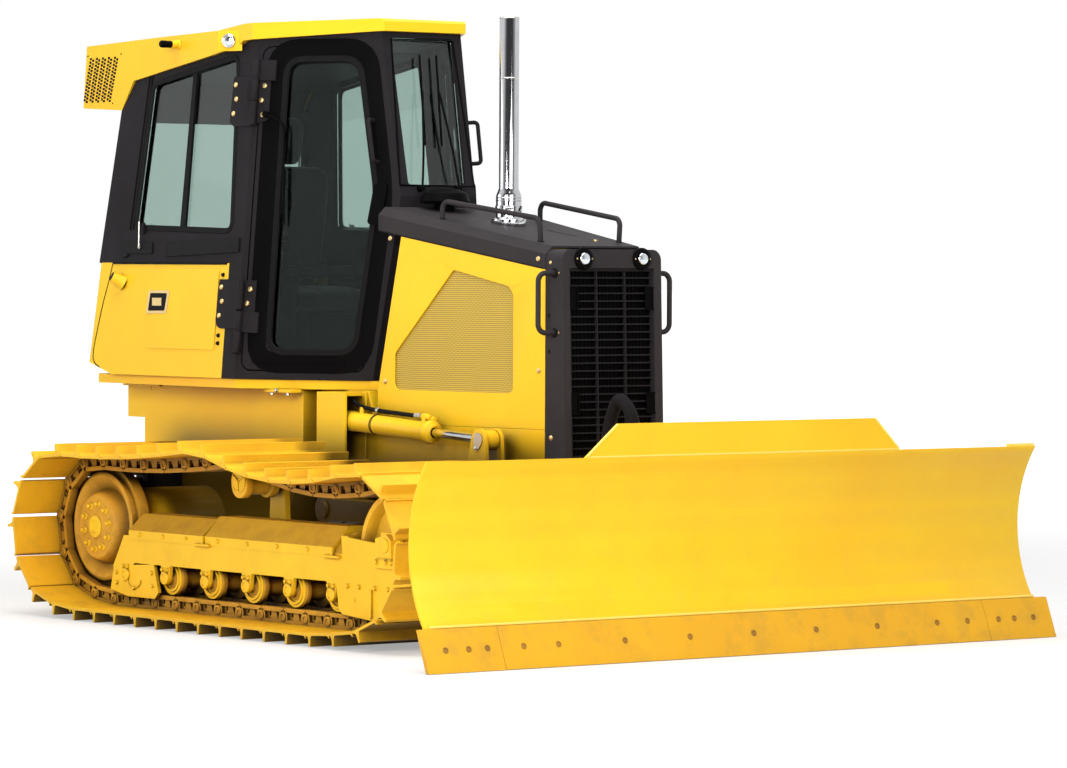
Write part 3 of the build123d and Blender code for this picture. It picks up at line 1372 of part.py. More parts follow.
# name, base, eye, pin direction, then sizes: barrel radius, rod radius, pin radius, base eye radius,
# base eye width, barrel length, depth of the bore's end, rod length, rod eye radius, rod eye width
RAMS = (
    ("lift", lift_base, lift_eye, (0, 1, 0), LIFT_SIZES),
    ("angle", angle_base, angle_eye, (0, 0, 1), ANGLE_SIZES),
    ("tilt", tilt_base, tilt_eye, (1, 0, 0), TILT_SIZES),
)

for name, base, eye, pin, sizes in RAMS:
    barrel_r, rod_r, pin_r, foot_r, foot_w, barrel_end, bore_end, rod_len, eye_r, eye_w = sizes
    span = ram_length(base, eye)
    with BuildPart(ram_plane(base, eye, pin)) as barrel:
        with Locations((0, 0, (barrel_end + foot_r + 10) / 2)):
            Cylinder(barrel_r, barrel_end - foot_r - 10)
        with Locations((0, 0, foot_r / 2 + 6)):
            Cylinder(foot_w / 2 - 1, foot_r + 12)
        with Locations((0, 0, barrel_end - 14)):
            Cylinder(barrel_r + 6, 28)
        Cylinder(foot_r, foot_w, rotation=(0, 90, 0))
        Cylinder(pin_r + PIN_FIT, foot_w + 10, rotation=(0, 90, 0), mode=Mode.SUBTRACT)
        with Locations((0, 0, (bore_end + barrel_end) / 2)):
            Cylinder(rod_r + PIN_FIT, barrel_end - bore_end, mode=Mode.SUBTRACT)
    with BuildPart(ram_plane(base, eye, pin)) as rod:
        with Locations((0, 0, span - rod_len / 2)):
            Cylinder(rod_r, rod_len)
        with Locations((0, 0, span)):
            Cylinder(eye_r, eye_w, rotation=(0, 90, 0))
    if name == "tilt":
        pieces["tilt_barrel"], pieces["tilt_rod"] = barrel, rod
        continue
    pieces[f"{name}_barrel_right"], pieces[f"{name}_rod_right"] = barrel, rod
    for kind, right in (("barrel", barrel), ("rod", rod)):
        with BuildPart() as left:
            mirror(right.part, about=Plane.XZ)
        pieces[f"{name}_{kind}_left"] = left


def bend_radii(path):
    """Radius at each corner of a path whose arcs leave every run a straight part."""
    radii = []
    for start, corner, end in zip(path, path[1:], path[2:]):
        run_in, run_out = Vector(*corner) - Vector(*start), Vector(*end) - Vector(*corner)
        turn = radians(run_in.get_angle(run_out))
        radii.append(0.45 * min(run_in.length, run_out.length) / tan(turn / 2))
    return radii


# rises from the cross-beam, arches ahead of the grille and comes down on the nose
HOSE_R = 26
HOSE_PATH = [
    (1350, -232, BEAM_TOP),
    (1350, -232, 665),
    (1450, -248, 940),
    (1510, -258, 1022),
    (1572, -246, 962),
    (1580, -222, 850),
    (1528, -160, 725),
    (1466, -92, 645),
    (1466, -92, NOSE_PLATES[1][1]),
]
with BuildPart() as hose_sleeve:
    with BuildLine() as hose_line:
        FilletPolyline(*HOSE_PATH, radius=bend_radii(HOSE_PATH))
    with BuildSketch(Plane(origin=hose_line.line @ 0, z_dir=hose_line.line % 0)):
        Circle(HOSE_R)
    sweep(path=hose_line.line)
pieces["hose_sleeve"] = hose_sleeve

# ---------------------------------------------------------------- write every piece
for label, piece in pieces.items():
    piece.part.label = label
    export_step(piece.part, f"parts/{label}.step")
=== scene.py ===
"""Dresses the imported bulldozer: paint, glass, chain links, bolts, seat, hoses, studio and camera."""
import logging
import math
from dataclasses import dataclass, field
from enum import Enum
from typing import Iterable, Sequence

import bmesh
import bpy
from mathutils import Matrix, Vector


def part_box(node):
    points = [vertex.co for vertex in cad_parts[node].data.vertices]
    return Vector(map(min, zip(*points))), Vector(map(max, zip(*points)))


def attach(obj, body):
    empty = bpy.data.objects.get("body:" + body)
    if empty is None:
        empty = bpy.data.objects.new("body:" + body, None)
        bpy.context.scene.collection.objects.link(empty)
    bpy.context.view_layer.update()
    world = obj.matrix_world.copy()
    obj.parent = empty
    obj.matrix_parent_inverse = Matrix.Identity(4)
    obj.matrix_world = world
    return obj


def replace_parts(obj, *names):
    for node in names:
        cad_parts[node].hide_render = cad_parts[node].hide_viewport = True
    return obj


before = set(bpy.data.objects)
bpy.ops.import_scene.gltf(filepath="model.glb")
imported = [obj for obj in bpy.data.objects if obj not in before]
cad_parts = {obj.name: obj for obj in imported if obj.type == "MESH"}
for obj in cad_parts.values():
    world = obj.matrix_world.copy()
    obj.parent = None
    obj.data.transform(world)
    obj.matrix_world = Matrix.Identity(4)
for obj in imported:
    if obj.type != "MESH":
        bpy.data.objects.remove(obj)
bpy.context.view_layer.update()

log = logging.getLogger("bulldozer")
Point = Sequence[float]
Flat = tuple[float, float]
UP = (0, 0, 1)
BACK = (-1, 0, 0)
OUTWARD = (0, -1, 0)  # on the right side; the left one is mirrored


class Side(Enum):
    """The machine's two sides. Trim is drawn on the right and mirrored to the left."""

    RIGHT = "right"
    LEFT = "left"

    def named(self, stem: str) -> str:
        """Name of this side's piece or body."""
        return f"{stem}_{self.value}"

    def mirror(self) -> Matrix:
        """Matrix from the right side to this one."""
        return Matrix.Identity(4) if self is Side.RIGHT else Matrix.Scale(-1, 4, (0, 1, 0))


# ---- shader language
class Signal:
    """One value travelling through a shader; arithmetic on it adds Math nodes."""

    def __init__(self, graph: "Graph", socket: bpy.types.NodeSocket) -> None:
        """Wraps a socket of a graph.

        Args:
            graph: the node graph that the socket belongs to.
            socket: the output socket that carries the value.
        """
        self.graph = graph
        self.socket = socket

    def _math(self, operation: str, *values: "Signal | float") -> "Signal":
        """Adds one Math node and returns its output."""
        return self.graph.value("ShaderNodeMath", {"operation": operation}, dict(enumerate(values)))

    def __add__(self, other: "Signal | float") -> "Signal":
        """Sum."""
        return self._math("ADD", self, other)

    __radd__ = __add__

    def __sub__(self, other: "Signal | float") -> "Signal":
        """Difference."""
        return self._math("SUBTRACT", self, other)

    def __rsub__(self, other: float) -> "Signal":
        """Difference from a number."""
        return self._math("SUBTRACT", other, self)

    def __mul__(self, other: "Signal | float") -> "Signal":
        """Product."""
        return self._math("MULTIPLY", self, other)

    __rmul__ = __mul__

    def __truediv__(self, other: "Signal | float") -> "Signal":
        """Quotient."""
        return self._math("DIVIDE", self, other)

    def clamp(self) -> "Signal":
        """Keeps the value from 0 to 1."""
        return self.graph.value("ShaderNodeClamp", {}, {"Value": self})

    def above(self, threshold: float, soft: float = 0.05) -> "Signal":
        """Mask that rises from 0 to 1 round a threshold.

        Args:
            threshold: value at which the mask is one half.
            soft: width of the rise.

        Returns:
            The mask.
        """
        span = {"Value": self, "From Min": threshold - soft / 2, "From Max": threshold + soft / 2}
        return self.graph.value("ShaderNodeMapRange", {"interpolation_type": "SMOOTHSTEP"}, span)

    def root(self) -> "Signal":
        """Square root."""
        return self._math("SQRT", self)

    def floor(self) -> "Signal":
        """Whole part."""
        return self._math("FLOOR", self)

    def fold(self, period: float) -> "Signal":
        """Distance from the middle of each period, from 0 to half of it."""
        return self._math("ABSOLUTE", self._math("FLOORED_MODULO", self, period) - period / 2)


class Graph:
    """The node graph of a material or of the world."""

    def __init__(self, owner: bpy.types.Material | bpy.types.World) -> None:
        """Empties the owner's node tree.

        Args:
            owner: the material or world whose nodes are made.
        """
        self.owner = owner
        owner.use_nodes = True
        self.tree = owner.node_tree
        self.tree.nodes.clear()

    @classmethod
    def of_finish(cls, name: str) -> "Graph":
        """Graph of a new material for a finish."""
        return cls(bpy.data.materials.new(f"finish_{name}"))

    def node(self, kind: str, settings: dict, sockets: dict) -> bpy.types.ShaderNode:
        """Adds a node.

        Args:
            kind: the node's type.
            settings: properties set before any socket.
            sockets: values or signals by socket name or number.

        Returns:
            The node.
        """
        made = self.tree.nodes.new(kind)
        for key, value in settings.items():
            setattr(made, key, value)
        for key, value in sockets.items():
            source = getattr(value, "socket", value)
            if isinstance(source, bpy.types.NodeSocket):
                self.tree.links.new(source, made.inputs[key])
            else:
                made.inputs[key].default_value = source
        return made

    def value(self, kind: str, settings: dict, sockets: dict, output: int | str = 0) -> Signal:
        """Adds a node and returns one of its outputs as a signal."""
        return Signal(self, self.node(kind, settings, sockets).outputs[output])

    def place(self) -> Signal:
        """Position on the piece, in metres of the part's frame."""
        return self.value("ShaderNodeTexCoord", {}, {}, "Object")

    def axes(self) -> tuple[Signal, Signal, Signal]:
        """The three coordinates of the position."""
        split = self.node("ShaderNodeSeparateXYZ", {}, {0: self.place()})
        return tuple(Signal(self, out) for out in split.outputs)

    def facing(self) -> Signal:
        """Upward part of the surface's normal.

        Returns:
            1 on faces that look up and -1 on those that look down.
        """
        normal = self.value("ShaderNodeNewGeometry", {}, {}, "Normal")
        split = self.node("ShaderNodeSeparateXYZ", {}, {0: normal})
        return Signal(self, split.outputs[2])

    def noise(self, scale: float, detail: float = 3.0, rough: float = 0.55,
              stretch: Point = (1, 1, 1)) -> Signal:
        """Soft noise from 0 to 1.

        Args:
            scale: features per metre.
            detail: octaves.
            rough: weight of the finer octaves.
            stretch: scale along each axis.

        Returns:
            The noise value.
        """
        where = self.value("ShaderNodeMapping", {}, {"Vector": self.place(), "Scale": stretch})
        return self.value(
            "ShaderNodeTexNoise", {},
            {"Vector": where, "Scale": scale, "Detail": detail, "Roughness": rough}, "Fac",
        )

    def recess(self, reach: float) -> Signal:
        """How closed in the surface is within a reach: 0 in the open, 1 in a tight gap; paint uses it to
        paint shade into gaps.
        """
        return 1 - self.value("ShaderNodeAmbientOcclusion", {"samples": 6}, {"Distance": reach}, "AO")

    def blend(self, mask: Signal | float, low: Signal | Point, high: Signal | Point) -> Signal:
        """Mixes two colours.

        Args:
            mask: share of the second colour.
            low: the first colour.
            high: the second colour.

        Returns:
            The mixed colour.
        """
        low, high = (c if isinstance(c, Signal) else (*c, 1.0) for c in (low, high))
        return self.value("ShaderNodeMix", {"data_type": "RGBA"}, {0: mask, 6: low, 7: high}, 2)

    def bump(self, height: Signal, distance: float, strength: float = 1.0) -> Signal:
        """Normal bent by a height in metres."""
        return self.value("ShaderNodeBump", {},
                          {"Height": height, "Distance": distance, "Strength": strength})

    def surface(self, **sockets: Signal | float) -> Signal:
        """Principled shader.

        Args:
            sockets: values or signals by socket name, an underscore standing for a space.

        Returns:
            The shader.
        """
        named = {key.replace("_", " "): value for key, value in sockets.items()}
        return self.value("ShaderNodeBsdfPrincipled", {}, named)

    def mix(self, factor: Signal, first: Signal, second: Signal) -> Signal:
        """Shader that goes from the first to the second with a factor."""
        return self.value("ShaderNodeMixShader", {}, {0: factor, 1: first, 2: second})

    def rays(self, *kinds: str) -> Signal:
        """Tells the kinds of light rays apart.

        Args:
            kinds: kinds to mark, such as Camera or Glossy.

        Returns:
            Mask that is 1 for those kinds.
        """
        path = self.node("ShaderNodeLightPath", {}, {})
        masks = [Signal(self, path.outputs[f"Is {kind} Ray"]) for kind in kinds]
        return sum(masks[1:], masks[0]).clamp()

    def finish(self, shader: Signal) -> bpy.types.Material | bpy.types.World:
        """Joins a shader to the owner's output.

        Args:
            shader: the shader that the owner shows.

        Returns:
            The owner.
        """
        world = isinstance(self.owner, bpy.types.World)
        self.node("ShaderNodeOutputWorld" if world else "ShaderNodeOutputMaterial", {}, {0: shader})
        return self.owner


def rgb(code: str) -> tuple[float, float, float]:
    """Linear colour of a six-digit display colour."""
    parts = [int(code[i:i + 2], 16) / 255 for i in (0, 2, 4)]
    return tuple(p / 12.92 if p <= 0.04045 else ((p + 0.055) / 1.055) ** 2.4 for p in parts)


# ---- finishes
@dataclass(frozen=True)
class Chamber:
    """A space that little light reaches, alike on both sides of the middle; paint inside it gets painted
    shade.

    Each field is a limit and the width of the fade there; the last is half a width, squared.
    """

    back: Flat
    front: Flat
    low: Flat
    high: Flat
    side: Flat

    def mask(self, g: Graph) -> Signal:
        """Mask of the space.

        Args:
            g: the graph that uses it.

        Returns:
            1 inside and 0 outside.
        """
        x, y, z = g.axes()
        along = x.above(*self.back) * (1 - x.above(*self.front))
        upright = z.above(*self.low) * (1 - z.above(*self.high))
        return along * upright * (1 - (y * y).above(*self.side))


# Where paint gets painted shade: the belly between the tracks, and the inside of the cab.
BELLY_SHADE = Chamber((-1.5, 0.4), (1.25, 0.3), (-1.0, 0.1), (0.8, 0.24), (0.56, 0.16))
CABIN_SHADE = Chamber((-1.7, 0.02), (-0.085, 0.01), (1.046, 0.004), (2.2, 0.02), (0.319, 0.01))


@dataclass(frozen=True)
class Paint:
    """Sprayed paint with a faint orange peel, drifts in tone, dust, and painted shade: gaps darken as
    shade with some grease, and the belly and the cab's inside darken as shade.

    Attributes:
        name: the finish's name.
        colour: the clean paint.
        shade: the tone that it drifts to.
        rough: roughness.
        coat: weight of the clear coat.
        peel: depth of the orange peel in metres.
        dust: colour of the dust.
        dust_share: how much of it settles low down.
        shade_and_grease: colour painted in gaps as shade with some grease, and in the belly and inside
            the cab as shade.
        shade_and_grease_share: how far this painted shade darkens them.
        gap_shade_reach: how near another surface closes a gap, in metres, for the painted shade.
        gap_shade_at: how closed a gap is where its painted shade is half dark.
        top_dust: how much dust lies on faces that look up.
        shine: specular level.
        coat_rough: roughness of the clear coat.
    """

    name: str
    colour: str
    shade: str
    rough: float = 0.3
    coat: float = 0.35
    peel: float = 0.00006
    dust: str = "b49a6c"
    dust_share: float = 0.12
    shade_and_grease: str = "241505"
    shade_and_grease_share: float = 0.88
    gap_shade_reach: float = 0.3
    gap_shade_at: float = 0.58
    top_dust: float = 0.0
    shine: float = 0.25
    coat_rough: float = 0.24

    def material(self) -> bpy.types.Material:
        """Builds the material.

        Returns:
            The material.
        """
        g = Graph.of_finish(self.name)
        drift = g.noise(2.4, 4.0)
        speck = g.noise(60.0, 2.0)
        tone = g.blend(drift.above(0.5, 0.5) * 0.7 + speck * 0.12, rgb(self.shade), rgb(self.colour))
        grime = g.noise(9.0, 5.0, 0.65)
        near_ground = 1 - g.axes()[2].above(0.45, 0.9)
        settled = (grime.above(0.56, 0.22) * (0.35 + 0.65 * near_ground) * self.dust_share).clamp()
        if self.top_dust:
            on_top = g.facing().above(0.5, 0.5) * (0.6 + grime * 0.4)
            settled = (settled + on_top * self.top_dust).clamp()
        # Painted shade: occlusion darkens gaps, where some grease lies too, and the belly and the cab's
        # inside are darkened as shade.
        gaps = g.recess(self.gap_shade_reach).above(self.gap_shade_at, 0.5)
        closed = (gaps + BELLY_SHADE.mask(g) + CABIN_SHADE.mask(g)).clamp() * self.shade_and_grease_share
        colour = g.blend(closed, g.blend(settled, tone, rgb(self.dust)), rgb(self.shade_and_grease))
        rough = self.rough + settled * 0.35 + (g.noise(35.0, 3.0) - 0.5) * 0.08
        normal = g.bump(g.noise(420.0, 1.5), self.peel)
        shader = g.surface(
            Base_Color=colour, Roughness=rough, Specular_IOR_Level=self.shine, Coat_Weight=self.coat,
            Coat_Roughness=self.coat_rough, Normal=normal,
        )
        return g.finish(shader)


@dataclass(frozen=True)
class Textured:
    """Dark powder coat or moulded plastic with a fine grain."""

    name: str
    colour: str
    light: str
    rough: float = 0.42
    grain: float = 0.00012
    grain_scale: float = 700.0
    shine: float = 0.25

    def material(self) -> bpy.types.Material:
        """Builds the material.

        Returns:
            The material.
        """
        g = Graph.of_finish(self.name)
        drift = g.noise(3.0, 4.0).above(0.5, 0.5)
        dust = (g.facing().above(0.7, 0.5) * g.noise(14.0, 4.0).above(0.5, 0.4) * 0.3).clamp()
        colour = g.blend((drift * 0.5 + dust).clamp(), rgb(self.colour), rgb(self.light))
        rough = self.rough + (g.noise(25.0, 3.0) - 0.5) * 0.14
        normal = g.bump(g.noise(self.grain_scale, 2.0), self.grain)
        return g.finish(
            g.surface(Base_Color=colour, Roughness=rough, Specular_IOR_Level=self.shine, Normal=normal)
        )


@dataclass(frozen=True)
class Metal:
    """Bare or plated metal with fine turning marks."""

    name: str
    colour: str
    rough: float = 0.12
    mark: float = 0.00002

    def material(self) -> bpy.types.Material:
        """Builds the material.

        Returns:
            The material.
        """
        g = Graph.of_finish(self.name)
        smear = g.noise(18.0, 4.0)
        colour = g.blend(smear.above(0.55, 0.4) * 0.35, rgb(self.colour),
                         tuple(c * 0.72 for c in rgb(self.colour)))
        rough = self.rough + (smear - 0.5) * 0.12
        normal = g.bump(g.noise(260.0, 2.0, stretch=(1, 1, 14)), self.mark)
        return g.finish(g.surface(Base_Color=colour, Roughness=rough, Metallic=1.0, Normal=normal))


@dataclass(frozen=True)
class Glazing:
    """Clear tinted glass with a faint film of dust."""

    name: str
    tint: str
    film: float = 0.10

    def material(self) -> bpy.types.Material:
        """Builds the material.

        Returns:
            The material.
        """
        g = Graph.of_finish(self.name)
        smear = g.noise(5.0, 4.0).above(0.55, 0.5)
        colour = g.blend(smear * self.film, rgb(self.tint), tuple(c * 0.8 for c in rgb(self.tint)))
        shader = g.surface(Base_Color=colour, Roughness=smear * 0.004, Transmission_Weight=1.0, IOR=1.45)
        return g.finish(shader)


@dataclass(frozen=True)
class Perforated:
    """Painted sheet with a close field of round holes, coloured in the dark tone of the shade behind
    them.
    """

    name: str
    colour: str
    hole_shade: str
    pitch: float
    share: float = 0.62
    along: int = 0

    def material(self) -> bpy.types.Material:
        """Builds the material.

        Returns:
            The material.
        """
        g = Graph.of_finish(self.name)
        axes = g.axes()
        u, v = axes[self.along], axes[2]
        shift = (v / self.pitch).floor() * (self.pitch / 2)
        du, dv = (u + shift).fold(self.pitch), v.fold(self.pitch)
        reach = (du * du + dv * dv).root()
        open_share = 1 - reach.above(self.pitch / 2 * self.share, self.pitch * 0.16)
        tone = g.blend(g.noise(3.0, 3.0) * 0.5, rgb(self.colour),
                       tuple(c * 0.85 for c in rgb(self.colour)))
        # The holes take a dark colour: painted shade of the space behind the sheet.
        colour = g.blend(open_share, tone, rgb(self.hole_shade))
        normal = g.bump(1 - open_share, 0.0012)
        return g.finish(g.surface(Base_Color=colour, Roughness=0.4 + open_share * 0.4, Normal=normal))


@dataclass(frozen=True)
class Cloth:
    """Woven seat cloth."""

    name: str
    colour: str
    light: str
    pitch: float = 0.0035

    def material(self) -> bpy.types.Material:
        """Builds the material.

        Returns:
            The material.
        """
        g = Graph.of_finish(self.name)
        x, y, z = g.axes()
        warp, weft = (x + z).fold(self.pitch) / self.pitch, y.fold(self.pitch) / self.pitch
        weave = (warp + weft).clamp()
        colour = g.blend(weave * 0.5 + g.noise(12.0, 4.0) * 0.4, rgb(self.colour), rgb(self.light))
        normal = g.bump(weave, 0.0008)
        return g.finish(g.surface(Base_Color=colour, Roughness=0.9, Sheen_Weight=0.25, Normal=normal))


@dataclass(frozen=True)
class Rubber:
    """Matt rubber with a chalky bloom, optionally wrapped in a braided sleeve."""

    name: str
    colour: str
    braid: float = 0.0

    def material(self) -> bpy.types.Material:
        """Builds the material.

        Returns:
            The material.
        """
        g = Graph.of_finish(self.name)
        x, y, z = g.axes()
        bloom = g.noise(20.0, 4.0).above(0.55, 0.4)
        colour = g.blend(bloom * 0.25, rgb(self.colour), rgb("262424"))
        if self.braid:
            strands = (x + y + z).fold(self.braid) + (x - y - z).fold(self.braid)
            normal = g.bump(strands / self.braid, 0.0015)
        else:
            normal = g.bump(g.noise(300.0, 2.0), 0.0001)
        return g.finish(g.surface(Base_Color=colour, Roughness=0.62 + bloom * 0.15,
                                  Specular_IOR_Level=0.12, Normal=normal))


class Finish(Enum):
    """Every finish on the machine."""

    YELLOW = Paint("yellow_paint", "ffd224", "ffc620", rough=0.4, coat=0.06, dust_share=0.06)
    TRACK = Paint(
        "track_paint", "ffcf2c", "f0b128", rough=0.45, coat=0.05, peel=0.00018, dust="a9803c",
        dust_share=0.25, shade_and_grease_share=0.93, gap_shade_reach=0.22,
    )
    CHAIN = Paint(
        "chain_paint", "eeb43a", "d59c30", rough=0.5, coat=0.0, peel=0.0002, dust="8a6228",
        dust_share=0.4, shade_and_grease_share=0.97, gap_shade_reach=0.16, gap_shade_at=0.46,
    )
    FRAME = Paint(
        "frame_paint", "ffd42a", "fcc624", rough=0.42, coat=0.05, peel=0.00018, dust="a87830",
        dust_share=0.1, shade_and_grease_share=0.95, gap_shade_reach=0.2, gap_shade_at=0.64, top_dust=0.8,
    )
    EDGE = Paint("edge_paint", "efb422", "e4a824", rough=0.42, coat=0.1, dust="b08c40", dust_share=0.3)
    # Pale paint of the blade's weld beads: a painted highlight along its seams.
    BEAD = Paint("highlight_bead_paint", "ffe676", "ffdc60", rough=0.35, shade_and_grease_share=0.0, dust_share=0.02)
    WORN = Paint("worn_paint", "bf8b30", "a0702c", rough=0.5, coat=0.0, dust="6e5530", dust_share=0.3)
    CHARCOAL = Textured("charcoal_paint", "222022", "2e2b2e", 0.52, shine=0.05)
    GRAPHITE = Textured("graphite_paint", "333032", "3e3b3c", 0.52, shine=0.05)
    BLACK = Textured("black_paint", "050405", "0c0b0c", 0.5, shine=0.04)
    TRIM = Textured("trim_plastic", "161517", "242326", 0.55, 0.0003, 420.0, 0.08)
    IRON = Textured("engine_iron", "0c0b0a", "1d1b19", 0.6, 0.0006, 160.0, 0.15)
    GASKET = Rubber("gasket_rubber", "0b0b0c")
    SLEEVE = Rubber("hose_sleeve", "141215", 0.006)
    CHROME = Metal("bright_chrome", "d9dadd", 0.06)
    STEEL = Metal("bare_steel", "b9b6ae", 0.3, 0.00006)
    BRASS = Metal("passivated_bolts", "d9bd84", 0.34, 0.00004)
    GLASS = Glazing("cab_glass", "c4d5cf")
    LENS = Metal("lamp_lens", "e6edf2", 0.16, 0.00003)
    SCREEN = Perforated("screen_mesh", "dcbb48", "6b5a22", 0.0085)
    CLOTH = Cloth("seat_cloth", "111013", "262429")

    def material(self) -> bpy.types.Material:
        """The finish's material, made once."""
        return bpy.data.materials.get(f"finish_{self.value.name}") or self.value.material()


SLOTS = {
    finish: slot
    for slot, finishes in {
        "yellow_paint": (Finish.YELLOW, Finish.BEAD, Finish.WORN),
        "track_paint": (Finish.TRACK, Finish.CHAIN, Finish.FRAME),
        "charcoal_paint": (Finish.CHARCOAL,),
        "black_paint": (Finish.BLACK, Finish.GASKET),
        "trim_plastic": (Finish.TRIM,),
        "engine_iron": (Finish.IRON,),
        "bright_steel": (Finish.CHROME, Finish.STEEL, Finish.BRASS),
        "lamp_lens": (Finish.LENS,),
        "seat_cloth": (Finish.CLOTH,),
    }.items()
    for finish in finishes
}


# ---- mesh language
class Forms:
    """Gathers small forms that share a body and a finish into one mesh."""

    def __init__(self, name: str, finish: Finish, side: Side | None = None, body: str = "chassis",
                 slot: str = "") -> None:
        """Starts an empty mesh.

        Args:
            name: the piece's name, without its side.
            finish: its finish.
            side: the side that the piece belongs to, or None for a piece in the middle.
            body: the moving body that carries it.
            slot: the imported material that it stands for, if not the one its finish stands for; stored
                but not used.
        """
        self.name = side.named(name) if side else name
        self.body, self.finish, self.slot = body, finish, slot or SLOTS[finish]
        self.mesh = bmesh.new()
        self.pose = side.mirror() if side else Matrix.Identity(4)

    def loft(self, rings: Iterable[Iterable[Point]], capped: bool = True, closed: bool = False) -> None:
        """Skins rings of equally many points.

        Args:
            rings: rings in order.
            capped: whether flat caps close the two ends.
            closed: whether the last ring joins the first.
        """
        rows = [[self.mesh.verts.new(self.pose @ Vector(p)) for p in ring] for ring in rings]
        pairs = list(zip(rows, rows[1:])) + ([(rows[-1], rows[0])] if closed else [])
        for low, high in pairs:
            for i in range(len(low)):
                j = (i + 1) % len(low)
                self.mesh.faces.new((low[i], low[j], high[j], high[i]))
        if capped and not closed:
            self.mesh.faces.new(rows[0][::-1])
            self.mesh.faces.new(rows[-1])

    def prism(self, outline: Iterable[Point], depth: Point) -> None:
        """Extrudes a flat closed outline by a vector."""
        ring = [Vector(p) for p in outline]
        self.loft([ring, [p + Vector(depth) for p in ring]])

    def side(self, outline: Iterable[Flat], y: float, depth: float) -> None:
        """Extrudes a side view, given as (x, z), from y by a depth."""
        self.prism([(x, y, z) for x, z in outline], (0, depth, 0))

    def block(self, centre: Point, size: Point, soft: float = 0.0) -> None:
        """Adds a block, its upright edges cut off by a small chamfer.

        Args:
            centre: its middle.
            size: its sides.
            soft: chamfer of the edges along Z and of the two flat ends.
        """
        (cx, cy, cz), (hx, hy, hz) = centre, (s / 2 for s in size)
        if not soft:
            square = [(hx, -hy), (hx, hy), (-hx, hy), (-hx, -hy)]
            self.loft([[(cx + x, cy + y, cz + z) for x, y in square] for z in (-hz, hz)])
            return
        rings = []
        for z, draw in ((-hz, soft), (-hz + soft, 0), (hz - soft, 0), (hz, soft)):
            ax, ay = hx - draw, hy - draw
            bx, by = max(ax - soft, ax * 0.2), max(ay - soft, ay * 0.2)
            half = [(bx, -ay), (ax, -by), (ax, by), (bx, ay)]
            ring = half + [(-x, -y) for x, y in half]
            rings.append([(cx + x, cy + y, cz + z) for x, y in ring])
        self.loft(rings)

    def lathe(self, profile: Sequence[Flat], at: Point, axis: Point, sides: int = 24,
              capped: bool = True) -> None:
        """Turns a profile of (radius, height) about an axis.

        Args:
            profile: radius and height of each ring.
            at: point on the axis at height 0.
            axis: direction of the axis.
            sides: corners of a ring.
            capped: whether flat caps close the ends; without them the profile makes a hollow ring.
        """
        z = Vector(axis).normalized()
        x = z.orthogonal().normalized()
        y = z.cross(x)
        turn = [math.tau * k / sides for k in range(sides)]
        self.loft([
            [Vector(at) + z * h + (x * math.cos(a) + y * math.sin(a)) * max(r, 1e-5) for a in turn]
            for r, h in profile
        ], capped, not capped)

    def rod(self, start: Point, end: Point, radius: float, soft: float = 0.0, sides: int = 20) -> None:
        """Adds a round bar.

        Args:
            start: middle of one end.
            end: middle of the other end.
            radius: its radius.
            soft: chamfer of its ends.
            sides: facets round it.
        """
        run = Vector(end) - Vector(start)
        length = run.length
        profile = [(radius - soft, 0), (radius, soft), (radius, length - soft), (radius - soft, length)]
        self.lathe(profile if soft else [(radius, 0), (radius, length)], start, run, sides)

    def bolt(self, at: Point, axis: Point, across: float, washer: bool = True) -> None:
        """Adds a hexagon bolt head.

        Args:
            at: where its middle sits.
            axis: direction that it points in.
            across: width of the head.
            washer: whether a washer lies under it.
        """
        r = across / 2
        base = 0.0
        if washer:
            base = across * 0.12
            self.lathe([(r * 1.45, 0), (r * 1.45, base * 0.7), (r * 1.35, base)], at, axis, 16)
        head = [(r * 1.12, base), (r * 1.15, base + r * 0.95), (r * 0.92, base + r * 1.2),
                (r * 0.4, base + r * 1.2)]
        self.lathe(head, at, axis, 6)

    def screw(self, at: Point, axis: Point, radius: float) -> None:
        """Adds a domed round head of a screw."""
        dome = ((1, 0), (0.96, 0.25), (0.75, 0.5), (0.3, 0.6))
        self.lathe([(reach * radius, rise * radius) for reach, rise in dome], at, axis, 12)

    def tube(self, path: Sequence[Point], radius: float, sides: int = 14, smooth: int = 8) -> None:
        """Adds a tube along a smooth line through the points.

        Args:
            path: points that the middle line passes through.
            radius: the tube's radius.
            sides: facets round it.
            smooth: pieces that each span is divided into.
        """
        knots = [Vector(p) for p in path]
        knots = [2 * knots[0] - knots[1], *knots, 2 * knots[-1] - knots[-2]]
        line = []
        for a, b, c, d in zip(knots, knots[1:], knots[2:], knots[3:]):
            for k in range(smooth):
                t = k / smooth
                line.append(0.5 * (2 * b + (c - a) * t + (2 * a - 5 * b + 4 * c - d) * t**2
                                   + (3 * b - a - 3 * c + d) * t**3))
        line.append(knots[-2])
        ahead = (line[1] - line[0]).normalized()
        side = ahead.orthogonal().normalized()
        rings = []
        for i, p in enumerate(line):
            ahead = (line[min(i + 1, len(line) - 1)] - line[max(i - 1, 0)]).normalized()
            side = (side - ahead * side.dot(ahead)).normalized()
            up = ahead.cross(side)
            turn = [math.tau * k / sides for k in range(sides)]
            rings.append([p + (side * math.cos(a) + up * math.sin(a)) * radius for a in turn])
        self.loft(rings)

